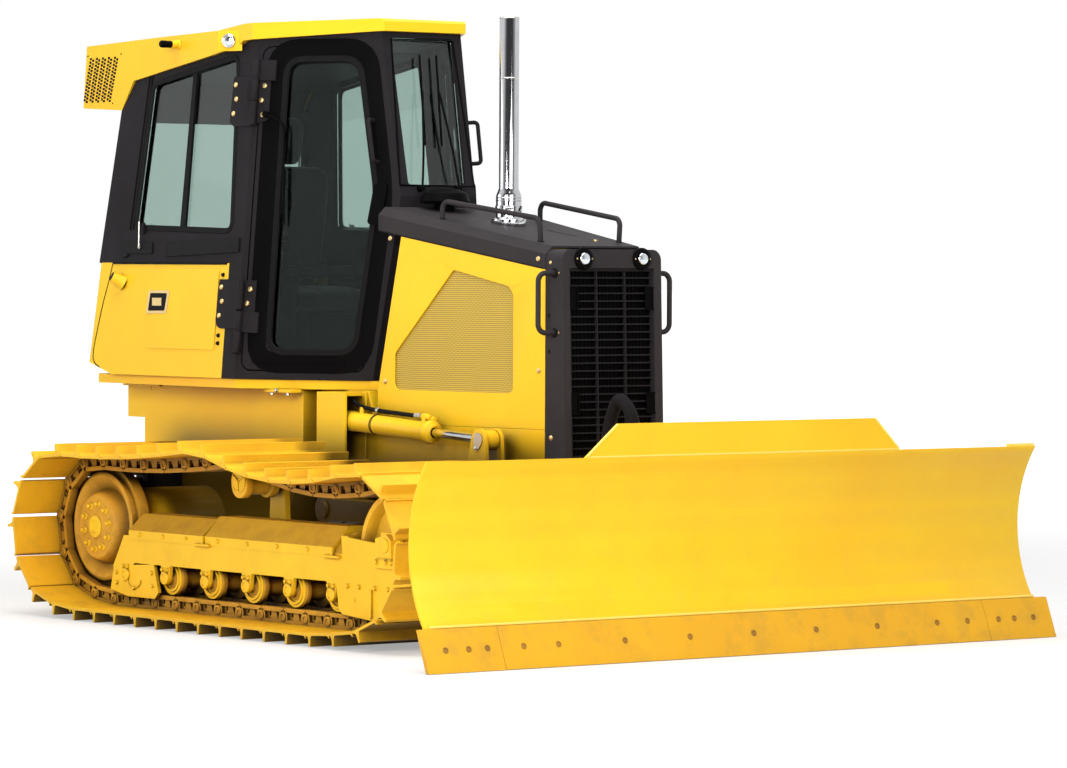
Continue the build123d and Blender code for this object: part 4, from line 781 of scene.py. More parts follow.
    def done(self, edge: float = 0.0, smooth: float = 32.0) -> bpy.types.Object:
        """Turns what was gathered into one finished piece.

        Args:
            edge: width of the bevel on its sharp edges, or 0.
            smooth: edges flatter than this many degrees are shaded round.

        Returns:
            The piece.
        """
        bmesh.ops.recalc_face_normals(self.mesh, faces=self.mesh.faces)
        data = bpy.data.meshes.new(self.name)
        self.mesh.to_mesh(data)
        self.mesh.free()
        data.polygons.foreach_set("use_smooth", [True] * len(data.polygons))
        data.set_sharp_from_angle(angle=math.radians(smooth))
        data.materials.append(self.finish.material())
        piece = bpy.data.objects.new(self.name, data)
        bpy.context.scene.collection.objects.link(piece)
        if edge:
            soften(piece, edge)
        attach(piece, self.body)
        log.info("piece %s: %d faces", self.name, len(data.polygons))
        return piece


def soften(piece: bpy.types.Object, edge: float) -> None:
    """Rounds a piece's sharp edges.

    Args:
        piece: the piece.
        edge: width of the bevel.
    """
    weld = piece.modifiers.new("weld", "WELD")
    weld.merge_threshold = 0.00002
    bevel = piece.modifiers.new("edge", "BEVEL")
    bevel.width = edge
    bevel.segments = 2
    bevel.limit_method = "ANGLE"
    bevel.angle_limit = math.radians(35)
    bevel.harden_normals = True


def between(a: float, b: float, share: float) -> float:
    """The value a share of the way from a to b."""
    return a + (b - a) * share


# ---- tracks
@dataclass
class TrackLoop:
    """Chain links, pins and grouser shoes round one track, in place of its plain loop."""

    side: Side = Side.RIGHT
    links: int = 39
    shoe_width: float = 0.634
    pin_to_shoe: float = 0.029
    plate: float = 0.012
    grouser: float = 0.044
    rail_drop: float = 0.035
    rail_in: float = 0.054
    rail_out: float = 0.090
    rear: tuple[float, float, float] = (-1.197, 0.393, 0.290)
    front: tuple[float, float, float] = (1.026, 0.396, 0.286)
    carrier: Flat = (-0.090, 0.733)
    flat: Flat = (-1.085, 0.795)
    sags: Flat = (0.082, 0.025)

    def __post_init__(self) -> None:
        """Finds the track's centre plane from the frame."""
        low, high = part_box(self.side.named("track"))
        self.middle = (low.y + high.y) / 2

    def arc(self, wheel: tuple[float, float, float], start: float, end: float) -> list[Flat]:
        """Points on the pin circle of a wheel.

        Args:
            wheel: its middle as (x, z), and the circle's radius.
            start: first angle in degrees.
            end: last angle.

        Returns:
            The points, as (x, z).
        """
        x, z, r = wheel
        angles = [math.radians(between(start, end, k / 30)) for k in range(31)]
        return [(x + r * math.cos(a), z + r * math.sin(a)) for a in angles]

    def slack(self, a: Flat, b: Flat, sag: float) -> list[Flat]:
        """Points on a slack run, both ends left out."""
        shares = [k / 12 for k in range(1, 12)]
        return [(between(a[0], b[0], t), between(a[1], b[1], t) - 4 * sag * t * (1 - t)) for t in shares]

    def pins(self) -> tuple[list[Flat], float]:
        """Spaces the pins evenly round the loop.

        Returns:
            Their places, as (x, z), and the step between them.
        """
        bottom = self.grouser + self.plate + self.pin_to_shoe
        rear = self.arc(self.rear, 94, 266)
        front = self.arc(self.front, 273, 450)
        line = rear + [(x, bottom) for x in self.flat] + front
        line += self.slack(front[-1], self.carrier, self.sags[0]) + [self.carrier]
        line += self.slack(self.carrier, rear[0], self.sags[1]) + [rear[0]]
        lengths = [math.dist(a, b) for a, b in zip(line, line[1:])]
        step = sum(lengths) / self.links
        found, walked, target = [], 0.0, step / 2
        for (a, b), length in zip(zip(line, line[1:]), lengths):
            while target <= walked + length and len(found) < self.links:
                t = (target - walked) / length
                found.append((between(a[0], b[0], t), between(a[1], b[1], t)))
                target += step
            walked += length
        return found, step

    def poses(self) -> list[Matrix]:
        """Places the links.

        Returns:
            Frames with X along the chain, Y across it to the left and Z out of the loop.
        """
        found, self.step = self.pins()
        out = []
        for k, (ax, az) in enumerate(found):
            bx, bz = found[(k + 1) % self.links]
            along = Vector((bx - ax, 0, bz - az)).normalized()
            away = Vector((along.z, 0, -along.x))
            across = away.cross(along)
            turn = Matrix((along, across, away)).transposed().to_4x4()
            out.append(Matrix.Translation((ax, self.middle, az)) @ turn)
        return out

    def shoe_profile(self) -> list[Flat]:
        """Section of a shoe, with a tapered grouser near one end and a hooked lip at the other.

        Returns:
            The outline, as (along, out).
        """
        p, low, high = self.step, self.pin_to_shoe, self.pin_to_shoe + self.plate
        tip = high + self.grouser
        return [
            (-0.03 * p, low - 0.003), (0.02 * p, low), (0.90 * p, low), (0.97 * p, low + 0.003),
            (1.01 * p, low + 0.012), (1.02 * p, high + 0.010), (0.99 * p, high + 0.011),
            (0.965 * p, high + 0.003), (0.90 * p, high), (0.27 * p, high), (0.225 * p, high + 0.004),
            (0.205 * p, high + 0.015), (0.195 * p, tip - 0.001), (0.19 * p, tip),
            (0.125 * p, tip), (0.12 * p, tip - 0.001), (0.105 * p, high + 0.013),
            (0.07 * p, high + 0.003), (0.0, high - 0.001), (-0.04 * p, high - 0.005),
        ]

    def shoes(self, poses: list[Matrix]) -> Forms:
        """Shoe plates.

        Args:
            poses: frames of the links.

        Returns:
            The mesh of all shoes.
        """
        made = Forms(self.side.named("track_shoes"), Finish.TRACK)
        half = self.shoe_width / 2
        for pose in poses:
            made.pose = pose
            made.prism([(s, -half, h) for s, h in self.shoe_profile()], (0, self.shoe_width, 0))
        return made

    def link_half(self, made: Forms, sign: int) -> None:
        """Adds one side of a link: rail, shoe pad, pin bosses, window posts and nuts.

        Args:
            made: the mesh that takes it.
            sign: 1 for the left half and -1 for the right.
        """
        p, low, top = self.step, -self.rail_drop, self.pin_to_shoe
        y0, wide = sign * self.rail_in, sign * (self.rail_out - self.rail_in)
        rail = [(0.01 * p, low + 0.002), (0.05 * p, low), (0.95 * p, low), (0.99 * p, low + 0.002),
                (0.985 * p, low + 0.018), (0.80 * p, low + 0.018), (0.20 * p, low + 0.018),
                (0.015 * p, low + 0.018)]
        made.prism([(s, y0, h) for s, h in rail], (0, wide, 0))
        pad = [(0.14 * p, top), (0.16 * p, top - 0.014), (0.84 * p, top - 0.014), (0.86 * p, top)]
        made.prism([(s, y0, h) for s, h in pad], (0, wide, 0))
        post = [(0.40 * p, top - 0.012), (0.42 * p, low + 0.016), (0.62 * p, low + 0.016),
                (0.70 * p, top - 0.012)]
        made.prism([(s, y0 + wide * 0.2, h) for s, h in post], (0, wide * 0.62, 0))
        for s, start, end in ((0.0, 0.0, 0.52), (p, 0.50, 1.0)):
            cheek = [(s + 0.030 * math.cos(a), 0.004 + 0.030 * math.sin(a)) for a in
                     (math.tau * k / 18 for k in range(18))]
            made.prism([(x, y0 + wide * start, h) for x, h in cheek], (0, wide * (end - start), 0))
        near = 0.16 if sign else 0.0
        web = [(0.03 * p, low + 0.016), (0.03 * p, top - 0.004), (near * p + 0.012, top - 0.002),
               (0.30 * p, low + 0.016)]
        made.prism([(s, y0 + wide * 0.25, h) for s, h in web], (0, wide * 0.4, 0))
        far = [(0.80 * p, low + 0.016), (0.78 * p, top - 0.012), (0.90 * p, top - 0.010),
               (0.985 * p, low + 0.016)]
        made.prism([(s, y0 + wide * 0.35, h) for s, h in far], (0, wide * 0.6, 0))
        for s in (0.33 * p, 0.72 * p):
            nut = [(0.010, 0), (0.010, 0.011), (0.006, 0.012)]
            made.lathe(nut, (s, y0 + wide * 0.5, top - 0.026), UP, 6)

    def chain(self, poses: list[Matrix]) -> Forms:
        """Links, bushings and pins.

        Args:
            poses: frames of the links.

        Returns:
            The mesh of the chain.
        """
        made = Forms(self.side.named("track_chain"), Finish.CHAIN)
        for pose in poses:
            made.pose = pose
            for sign in (-1, 1):
                self.link_half(made, sign)
                face = sign * self.rail_out
                ring = [(0.020, 0), (0.020, 0.003), (0.017, 0.0045), (0.0125, 0.0045), (0.0115, 0.002),
                        (0.004, 0.002)]
                made.lathe(ring, (self.step, face, 0.003), (0, sign, 0), 18)
            made.rod((0, -self.rail_in, 0), (0, self.rail_in, 0), 0.026, 0.002)
        return made

    def build(self) -> None:
        """Builds the loop and hides the plain one."""
        poses = self.poses()
        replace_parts(self.chain(poses).done(), self.side.named("track"))
        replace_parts(self.shoes(poses).done(edge=0.0012), self.side.named("track"))


def rounded(corners: Sequence[Flat], radius: float, steps: int = 5) -> list[Flat]:
    """Rounds the corners of a closed outline.

    Args:
        corners: its corners.
        radius: how far each curve reaches from its corner.
        steps: pieces of each curve.

    Returns:
        The rounded outline.
    """
    line = []
    for k, corner in enumerate(corners):
        c = Vector(corner)
        back, ahead = Vector(corners[k - 1]) - c, Vector(corners[(k + 1) % len(corners)]) - c
        start = c + back.normalized() * min(radius, back.length * 0.45)
        end = c + ahead.normalized() * min(radius, ahead.length * 0.45)
        for i in range(steps + 1):
            t = i / steps
            line.append(tuple(start * (1 - t) ** 2 + c * 2 * t * (1 - t) + end * t**2))
    return line


def oblong(low: Flat, high: Flat) -> list[Flat]:
    """Corners of an upright rectangle."""
    return [low, (high[0], low[1]), high, (low[0], high[1])]


@dataclass(frozen=True)
class Wall:
    """A flat wall seen from the side: a point (x, z) has one place on it."""

    origin: Point
    normal: Point

    def at(self, x: float, z: float, out: float = 0.0) -> Vector:
        """Place on the wall at a side-view point.

        Args:
            x: forward place.
            z: height.
            out: distance off the wall, outwards.

        Returns:
            The place.
        """
        o, n = Vector(self.origin), Vector(self.normal).normalized()
        y = o.y - (n.x * (x - o.x) + n.z * (z - o.z)) / n.y
        return Vector((x, y, z)) + n * out

    def plate(self, made: Forms, outline: Iterable[Flat], out: float, thick: float) -> None:
        """Adds a plate of a side-view outline that lies off the wall."""
        depth = Vector(self.normal).normalized() * thick
        made.prism([self.at(x, z, out) for x, z in outline], depth)

    def frame_strip(self, made: Forms, outline: Sequence[Flat], wide: float, thick: float,
                    bend: float = 0.04, out: float = 0.0) -> None:
        """Adds a strip that runs round a closed outline, such as a window seal.

        Args:
            made: the mesh that takes it.
            outline: side-view corners.
            wide: half width of the strip.
            thick: how far it stands off the wall.
            bend: radius of the corners.
            out: distance of its foot off the wall.
        """
        line = rounded(outline, bend)
        normal = Vector(self.normal).normalized()
        places = [self.at(x, z, out) for x, z in line]
        rings = []
        for k, place in enumerate(places):
            along = (places[(k + 1) % len(places)] - places[k - 1]).normalized()
            across = normal.cross(along) * wide
            lift = normal * thick
            rings.append([place - across, place - across * 0.7 + lift, place + across * 0.7 + lift,
                          place + across])
        made.loft(rings, closed=True)


def lean_wall(origin: Point, lean: float, yaw: float = 0.0) -> Wall:
    """Makes a wall of the right side.

    Args:
        origin: a point on it.
        lean: degrees that it leans inwards.
        yaw: degrees that it turns towards the front.

    Returns:
        The wall.
    """
    a, b = math.radians(lean), math.radians(yaw)
    return Wall(origin, (math.sin(b) * math.cos(a), -math.cos(b) * math.cos(a),
                         math.cos(b) * math.sin(a)))


CAB_LEAN, DOOR_YAW = 4.74, 29.0
CAB_SILL = (-0.713, -0.624, 1.064)  # foot of the post that the door hangs on
HOOD_TAPER = 0.092 / 1.050
CAB_SIDE = lean_wall(CAB_SILL, CAB_LEAN)
DOOR_SIDE = lean_wall(CAB_SILL, CAB_LEAN, DOOR_YAW)
HOOD_SIDE = lean_wall((-0.020, -0.354, 0), 0.0, math.degrees(math.atan(HOOD_TAPER)))


# ---- undercarriage
@dataclass
class Undercarriage:
    """Bolts, caps, ribs and tabs of the wheels and track frames."""

    middle: float = 0.937
    sprocket: Flat = (-1.197, 0.393)
    hub_face: float = 0.084
    roller_x: float = -0.915
    roller_step: float = 0.308
    roller_z: float = 0.1983
    roller_face: float = 0.0745
    rollers: int = 6
    face: float = 0.113
    guard_in: float = 0.150
    carrier: Flat = (-0.090, 0.636)
    frame_bolts: tuple[float, ...] = (-0.80, -0.62, -0.44, -0.20, 0.02, 0.24, 0.46)
    tabs: Flat = (-0.309, 0.640)
    yoke_bolts: tuple[float, ...] = (0.955, 1.020, 1.060)
    front_bolts: tuple[float, ...] = (0.74, 0.82, 0.93, 1.02, 1.09)
    rear_bolts: tuple[Flat, ...] = (
        (-0.99, 0.205), (-0.71, 0.215), (-0.985, 0.16), (-0.705, 0.16), (-0.85, 0.142))

    def sprocket_bolts(self, made: Forms) -> None:
        """Adds the ring of bosses with bolts round the sprocket's hub, and the hub's cap.

        Args:
            made: the mesh that takes them.
        """
        x, z = self.sprocket
        y = -self.middle - self.hub_face
        for k in range(10):
            a = math.tau * (k + 0.3) / 10
            at = (x + 0.1 * math.cos(a), y, z + 0.1 * math.sin(a))
            made.lathe([(0.0175, 0), (0.0165, 0.004), (0.0145, 0.006)], at, OUTWARD, 16)
            made.bolt((at[0], y - 0.006, at[2]), OUTWARD, 0.019, washer=False)
        cap = [(0.049, 0.007), (0.049, 0.011), (0.043, 0.014), (0.030, 0.014), (0.027, 0.011),
               (0.006, 0.011)]
        made.lathe(cap, (x, y, z), OUTWARD, 32)

    def roller_caps(self, made: Forms) -> None:
        """Adds the cast face, shaft cap and two bolts of each lower roller.

        Args:
            made: the mesh that takes them.
        """
        cap = [(0.029, 0), (0.029, 0.007), (0.025, 0.011), (0.017, 0.012), (0.015, 0.008), (0.004, 0.008)]
        rings = [(0.074, 0), (0.073, 0.004), (0.062, 0.005), (0.060, 0.010), (0.050, 0.011),
                 (0.048, 0.004)]
        wall, flange = -self.middle - self.face, -self.middle - self.roller_face
        for k in range(self.rollers):
            x = self.roller_x + k * self.roller_step
            made.lathe(cap, (x, wall, self.roller_z), OUTWARD, 24)
            for shift in (-0.019, 0.019):
                made.bolt((x + shift, wall, self.roller_z + 0.036), OUTWARD, 0.015)
            made.lathe(rings, (x, flange, self.roller_z), OUTWARD, 32)

    def carrier_face(self, made: Forms) -> None:
        """Adds the carrier roller's cast face with a rim, three ribs and a plug.

        Args:
            made: the mesh that takes them.
        """
        x, z = self.carrier
        y = -self.middle - 0.086
        face = [(0.050, 0), (0.050, 0.004), (0.045, 0.006), (0.042, 0.003), (0.004, 0.003)]
        made.lathe(face, (x, y, z), OUTWARD, 32)
        for k in range(3):
            a = math.tau * k / 3 + 0.5
            tip = (x + 0.044 * math.cos(a), y - 0.005, z + 0.044 * math.sin(a))
            made.rod((x, y - 0.005, z), tip, 0.0042, 0.001, 8)
        made.bolt((x, y - 0.004, z), OUTWARD, 0.014)

    def frame_trim(self, made: Forms) -> None:
        """Adds bolts, joint tabs and the guard's rib on the track frame's outer side.

        Args:
            made: the mesh that takes them.
        """
        wall = -self.middle - self.face
        for x in self.frame_bolts:
            made.bolt((x, wall - 0.004, 0.376), OUTWARD, 0.014)
        for x in self.tabs:
            made.block((x, wall - 0.010, 0.355), (0.105, 0.020, 0.012), 0.002)
            made.block((x, wall - 0.008, 0.376), (0.012, 0.016, 0.040), 0.002)
        for x in self.yoke_bolts:
            made.bolt((x, wall - 0.012, 0.350), OUTWARD, 0.017)
        cap = [(0.030, 0), (0.030, 0.004), (0.024, 0.007), (0.012, 0.007)]
        made.lathe(cap, (1.026, wall - 0.026, 0.418), OUTWARD, 24)
        for x in self.front_bolts:
            made.bolt((x, wall, 0.240), OUTWARD, 0.016)
        made.block((0.905, wall - 0.005, 0.175), (0.012, 0.012, 0.115), 0.002)
        made.lathe([(0.011, 0), (0.011, 0.002), (0.007, 0.002)], (0.78, wall, 0.185), OUTWARD, 14)
        for x, z in self.rear_bolts:
            made.bolt((x, wall, z), OUTWARD, 0.015)
        turns = [math.pi * (1 + k / 8) for k in range(9)]
        rib = [(-0.85 + 0.052 * math.cos(a), wall - 0.003, 0.178 + 0.034 * math.sin(a)) for a in turns]
        made.tube(rib, 0.0035, 8, 2)

    def guards(self, side: Side) -> None:
        """Builds the inner guard behind the rollers, near black as painted shade there, and the hose
        bracket over the final drive.

        Args:
            side: the side to build.
        """
        made = Forms("roller_guard_shade", Finish.IRON, side)
        y = -self.middle + self.guard_in
        made.side(rounded(oblong((-0.985, 0.080), (0.735, 0.300)), 0.03, 4), y, 0.008)
        for k in range(self.rollers - 1):
            made.block((self.roller_x + (k + 0.5) * self.roller_step, y - 0.003, 0.19),
                       (0.020, 0.006, 0.190), 0.002)
        made.block((-1.440, -0.500, 0.600), (0.110, 0.250, 0.150), 0.012)
        made.block((-1.440, -0.610, 0.600), (0.136, 0.016, 0.176), 0.006)
        made.done(edge=0.0015)

    def build(self) -> None:
        """Builds both sides."""
        for side in Side:
            self.guards(side)
            made = Forms("undercarriage_trim", Finish.FRAME, side)
            self.sprocket_bolts(made)
            self.roller_caps(made)
            self.carrier_face(made)
            self.frame_trim(made)
            made.done()


# ---- blade and rams
@dataclass
class BladeTrim:
    """Plough bolts, seams, and weld beads on the blade whose pale paint is a painted highlight."""

    foot: Flat = (2.089, 0.0)
    top: Flat = (2.024, 0.165)
    bit_bolts: tuple[float, ...] = (1.335, 1.425, 1.535)
    edge_bolts: tuple[float, ...] = (0.0, 0.33, 0.66, 0.99, 1.16)
    bolt_rise: float = 0.52

    def edge_face(self, y: float, rise: float) -> Vector:
        """Place on the cutting edge's face, its rise a share of the edge's height."""
        x, z = (between(foot, top, rise) for foot, top in zip(self.foot, self.top))
        return Vector((x, y, z))

    def build(self) -> None:
        """Builds bolts, and weld beads whose pale paint is a painted highlight."""
        out = Vector((self.top[1], 0, self.foot[0] - self.top[0])).normalized()
        bolts = Forms("edge_bolts", Finish.WORN, body="blade")
        head = [(0.013, 0), (0.0123, 0.0022), (0.009, 0.003), (0.008, 0.001), (0.002, 0.001)]
        half = self.edge_bolts + self.bit_bolts
        for y in [-y for y in half if y] + list(half):
            bolts.lathe(head, self.edge_face(y, self.bolt_rise) - out * 0.0002, out, 20)
        bolts.done()
        # Weld beads in pale paint: a painted highlight along the cutting edge's top and the moldboard's
        # seams.
        beads = Forms("blade_highlight_welds", Finish.BEAD, body="blade")
        for sign in (-1, 1):
            beads.tube([(2.009, sign * y, 0.1705) for y in (0.0, 0.5, 1.0, 1.575)], 0.0062, 10, 3)
            beads.tube([(2.004, sign * y, 0.803) for y in (0.0, 0.3, 0.6, 0.815)], 0.004, 10, 3)
            slope = [(2.008, 0.815, 0.806), (2.014, 0.745, 0.868), (2.021, 0.676, 0.928)]
            beads.tube([(x, sign * y, z) for x, y, z in slope], 0.004, 10, 3)
        beads.block((1.985, 1.52, 0.802), (0.02, 0.14, 0.018))
        beads.done()


@dataclass
class RamTrim:
    """Hose, ports, band clamps, gland and painted rod eye of the lift rams."""

    y: float = 0.416
    base: Flat = (-0.144, 0.878)
    eye: Flat = (0.842, 0.825)
    radius: float = 0.042
    bore: float = 0.0215
    barrel: float = 0.604
    port: float = 0.55
    hose_rise: float = 0.060
    hose_radius: float = 0.0095
    ferrule: Flat = (0.478, 0.520)
    crimps: tuple[float, ...] = (0.486, 0.498, 0.510)
    bands: tuple[float, ...] = (0.205, 0.214)
    eye_half: float = 0.0302
    lug_out: float = 0.049

    def along(self, distance: float, up: float = 0.0, across: float = 0.0) -> Vector:
        """Place on the right ram.

        Args:
            distance: from the base pin towards the eye.
            up: rise square to the ram.
            across: shift outwards.

        Returns:
            The place.
        """
        run = Vector((self.eye[0] - self.base[0], 0, self.eye[1] - self.base[1])).normalized()
        rise = Vector((-run.z, 0, run.x))
        return Vector((self.base[0], -self.y - across, self.base[1])) + run * distance + rise * up

    def axis(self) -> Vector:
        """Direction from the base pin to the eye."""
        return self.along(1) - self.along(0)

    def ports(self, side: Side) -> None:
        """Builds the gland at the barrel's mouth and the two oil ports.

        Args:
            side: the side to build.
        """
        body = side.named("lift_barrel")
        made = Forms("lift_ram_ports", Finish.YELLOW, side, body=body)
        r, mouth, port = self.radius, self.barrel, self.port
        gland = [(r + 0.006, -0.026), (r + 0.008, -0.022), (r + 0.008, -0.004), (r + 0.004, 0.006),
                 (r - 0.008, 0.010), (r - 0.012, 0.014), (self.bore, 0.014), (self.bore, -0.022)]
        made.lathe([(reach, mouth + h) for reach, h in gland], self.along(0), self.axis(), 40,
                   capped=False)
        made.rod(self.along(port, 0.030), self.along(port, 0.074), 0.016, 0.003)
        made.rod(self.along(port - 0.022, 0.060), self.along(port + 0.035, 0.060), 0.013, 0.002)
        made.rod(self.along(0.10, 0.030), self.along(0.10, 0.066), 0.014, 0.002)
        nut = [self.along(port + shift, 0.050, -0.012) for shift in (0.035, 0.050)]
        made.rod(*nut, 0.016, 0.002, 6)
        made.done(edge=0.001)

    def fittings(self, side: Side) -> None:
        """Builds the hose's ferrule with its crimps and the clip that the straps hold.

        Args:
            side: the side to build.
        """
        body = side.named("lift_barrel")
        made = Forms("lift_ram_fittings", Finish.STEEL, side, body=body)
        line, axis, (start, end) = self.along(0, self.hose_rise), self.axis(), self.ferrule
        sleeve = [(0.0095, start), (0.012, start + 0.002), (0.012, end - 0.002), (0.0095, end)]
        made.lathe(sleeve, line, axis, 18)
        for place in self.crimps:
            ring = [(0.012, place - 0.003), (0.0132, place), (0.012, place + 0.003)]
            made.lathe(ring, line, axis, 18)
        clip = [(0.013, 0.205), (0.0145, 0.207), (0.0145, 0.218), (0.013, 0.220)]
        made.lathe(clip, line, axis, 18)
        made.done()

    def hose(self, side: Side) -> None:
        """Builds the hose along the barrel and the straps round both.

        Args:
            side: the side to build.
        """
        body = side.named("lift_barrel")
        made = Forms("lift_ram_hose", Finish.GASKET, side, body=body, slot="hose_rubber")
        route = [(0.03, 0.085), (0.08, 0.068)] + [(place, self.hose_rise) for place in (0.2, 0.35, 0.49)]
        made.tube([self.along(place, up) for place, up in route], self.hose_radius)
        made.done()
        band = Forms("lift_ram_bands", Finish.TRIM, side, body=body)
        inner, outer = self.radius + 0.0002, self.radius + 0.0016
        for place in self.bands:
            strip = [(inner, place - 0.003), (outer, place - 0.002), (outer, place + 0.002),
                     (inner, place + 0.003)]
            band.lathe(strip, self.along(0), self.axis(), 32, capped=False)
        band.done()

    def rod_eye(self, side: Side) -> None:
        """Builds the painted eye that rides on the rod.

        Args:
            side: the side to build.
        """
        made = Forms("lift_rod_eye", Finish.YELLOW, side, body=side.named("lift_rod"))
        length, half = (Vector(self.eye) - Vector(self.base)).length, self.eye_half
        boss = [(0.0405, -half), (0.0415, -0.027), (0.0415, 0.027), (0.0405, half)]
        made.lathe(boss, self.along(length), (0, 1, 0), 36)
        neck = [(0.0208, length - 0.085), (0.030, length - 0.075), (0.034, length - 0.03)]
        made.lathe(neck, self.along(0), self.axis(), 28)
        made.done()

    def keeper(self, side: Side) -> None:
        """Builds the plate that keeps the eye's pin, with its bolt.

        Args:
            side: the side to build.
        """
        made = Forms("lift_pin_keeper", Finish.STEEL, side, body="push_frame")
        face = -self.y - self.lug_out
        outline = [(-0.026, 0.020), (-0.010, 0.032), (0.014, 0.030), (0.030, 0.012), (0.030, -0.008),
                   (0.012, -0.030), (-0.004, -0.044), (-0.020, -0.044), (-0.026, -0.030)]
        plate = [(self.eye[0] + x, self.eye[1] + z) for x, z in rounded(outline, 0.008, 3)]
        made.side(plate, face, -0.006)
        made.bolt((self.eye[0] - 0.012, face - 0.006, self.eye[1] - 0.032), OUTWARD, 0.012)
        made.done(edge=0.001)

    def build(self) -> None:
        """Builds both lift rams' trim."""
        for side in Side:
            for part in (self.ports, self.fittings, self.hose, self.rod_eye, self.keeper):
                part(side)


# ---- hood and radiator guard
@dataclass
class HoodTrim:
    """Screws, seams and the slot of the hood, and the clamp of the exhaust stack."""

    stack: Point = (0.435, 0.0, 1.722)
    stack_foot: float = 0.064
    wall_screws: tuple[Flat, ...] = ((0.985, 1.575), (0.990, 1.114), (0.06, 1.66), (0.03, 1.05))
    rail_feet: tuple[Flat, ...] = ((0.316, 0.260315), (0.925, 0.208))
    crown_start: Flat = (-0.02, 1.796)
    fall: float = 0.166 / 1.05

    def crown(self, x: float, y: float, out: float = 0.0) -> Vector:
        """Place on the hood's flat top.

        Args:
            x: forward place.
            y: sideways place.
            out: distance off the top.

        Returns:
            The place.
        """
        start, height = self.crown_start
        return Vector((x, y, height - (x - start) * self.fall)) + self.up() * out

    def up(self) -> Vector:
        """Direction that the hood's top looks in."""
        return Vector((self.fall, 0, 1.0)).normalized()

    def screws(self, side: Side) -> None:
        """Builds the screws of a side panel and the one in the top.

        Args:
            side: the side to build.
        """
        made = Forms("hood_screws", Finish.BRASS, side)
        for x, z in self.wall_screws:
            made.screw(HOOD_SIDE.at(x, z), HOOD_SIDE.normal, 0.0115)
        if side is Side.LEFT:
            made.screw(self.crown(0.89, -0.11), self.up(), 0.010)
        made.done()

    def seams(self, side: Side) -> None:
        """Builds the dark seam under the top, the slot as a dark sheet of painted shade, and the
        handrail's grommets.

        Args:
            side: the side to build.
        """
        made = Forms("hood_seams", Finish.GASKET, side)
        if side is Side.LEFT:
            # The slot is a thin dark sheet: the shade inside it painted on.
            slot = [(0.60, 0.070), (0.60, 0.078), (0.77, 0.104), (0.77, 0.096)]
            made.prism([self.crown(x, -y, -0.001) for x, y in slot], self.up() * 0.0018)
        seam = [(1.028, 1.5315), (1.028, 1.5355), (-0.018, 1.695), (-0.018, 1.691)]
        HOOD_SIDE.plate(made, seam, 0.0, 0.0012)
        for x, y in self.rail_feet:
            grommet = [(0.0145, 0), (0.0145, 0.002), (0.012, 0.004)]
            made.lathe(grommet, self.crown(x, -y), self.up(), 20)
        made.done()

    def stack_clamp(self) -> None:
        """Builds the exhaust stack's clamp band, its beads and its bolt."""
        made = Forms("exhaust_clamp", Finish.CHROME)
        band = [(0.055, 0.054), (0.0575, 0.056), (0.0575, 0.078), (0.055, 0.080)]
        made.lathe(band, self.stack, UP, 40)
        for h in (0.100, 0.112):
            bead = [(0.052, h - 0.004), (0.0565, h), (0.052, h + 0.004)]
            made.lathe(bead, self.stack, UP, 40)
        for h in (0.62, 0.875):
            weld = [(0.0420, h - 0.003), (0.0436, h - 0.001), (0.0436, h + 0.001), (0.0420, h + 0.003)]
            made.lathe(weld, self.stack, UP, 40)
        ear = Vector(self.stack) + Vector((0.045, -0.052, 0.067))
        made.rod(ear, ear + Vector((0.030, 0.016, 0)), 0.006, 0.001, 10)
        made.block(ear + Vector((0, 0.002, 0)), (0.012, 0.018, 0.024), 0.002)
        made.done(edge=0.0006)

    def stack_bolts(self) -> None:
        """Builds the ring of bolts in the stack's foot."""
        made = Forms("exhaust_foot_bolts", Finish.TRIM, slot="black_paint")
        for k in range(4):
            a = math.tau * (k + 0.5) / 4
            spot = Vector((math.cos(a), math.sin(a), 0)) * self.stack_foot
            made.bolt(Vector(self.stack) + spot + Vector((0, 0, 0.019)), UP, 0.011)
        made.done()

    def build(self) -> None:
        """Builds both sides and the stack's parts."""
        for side in Side:
            self.screws(side)
            self.seams(side)
        self.stack_clamp()
        self.stack_bolts()


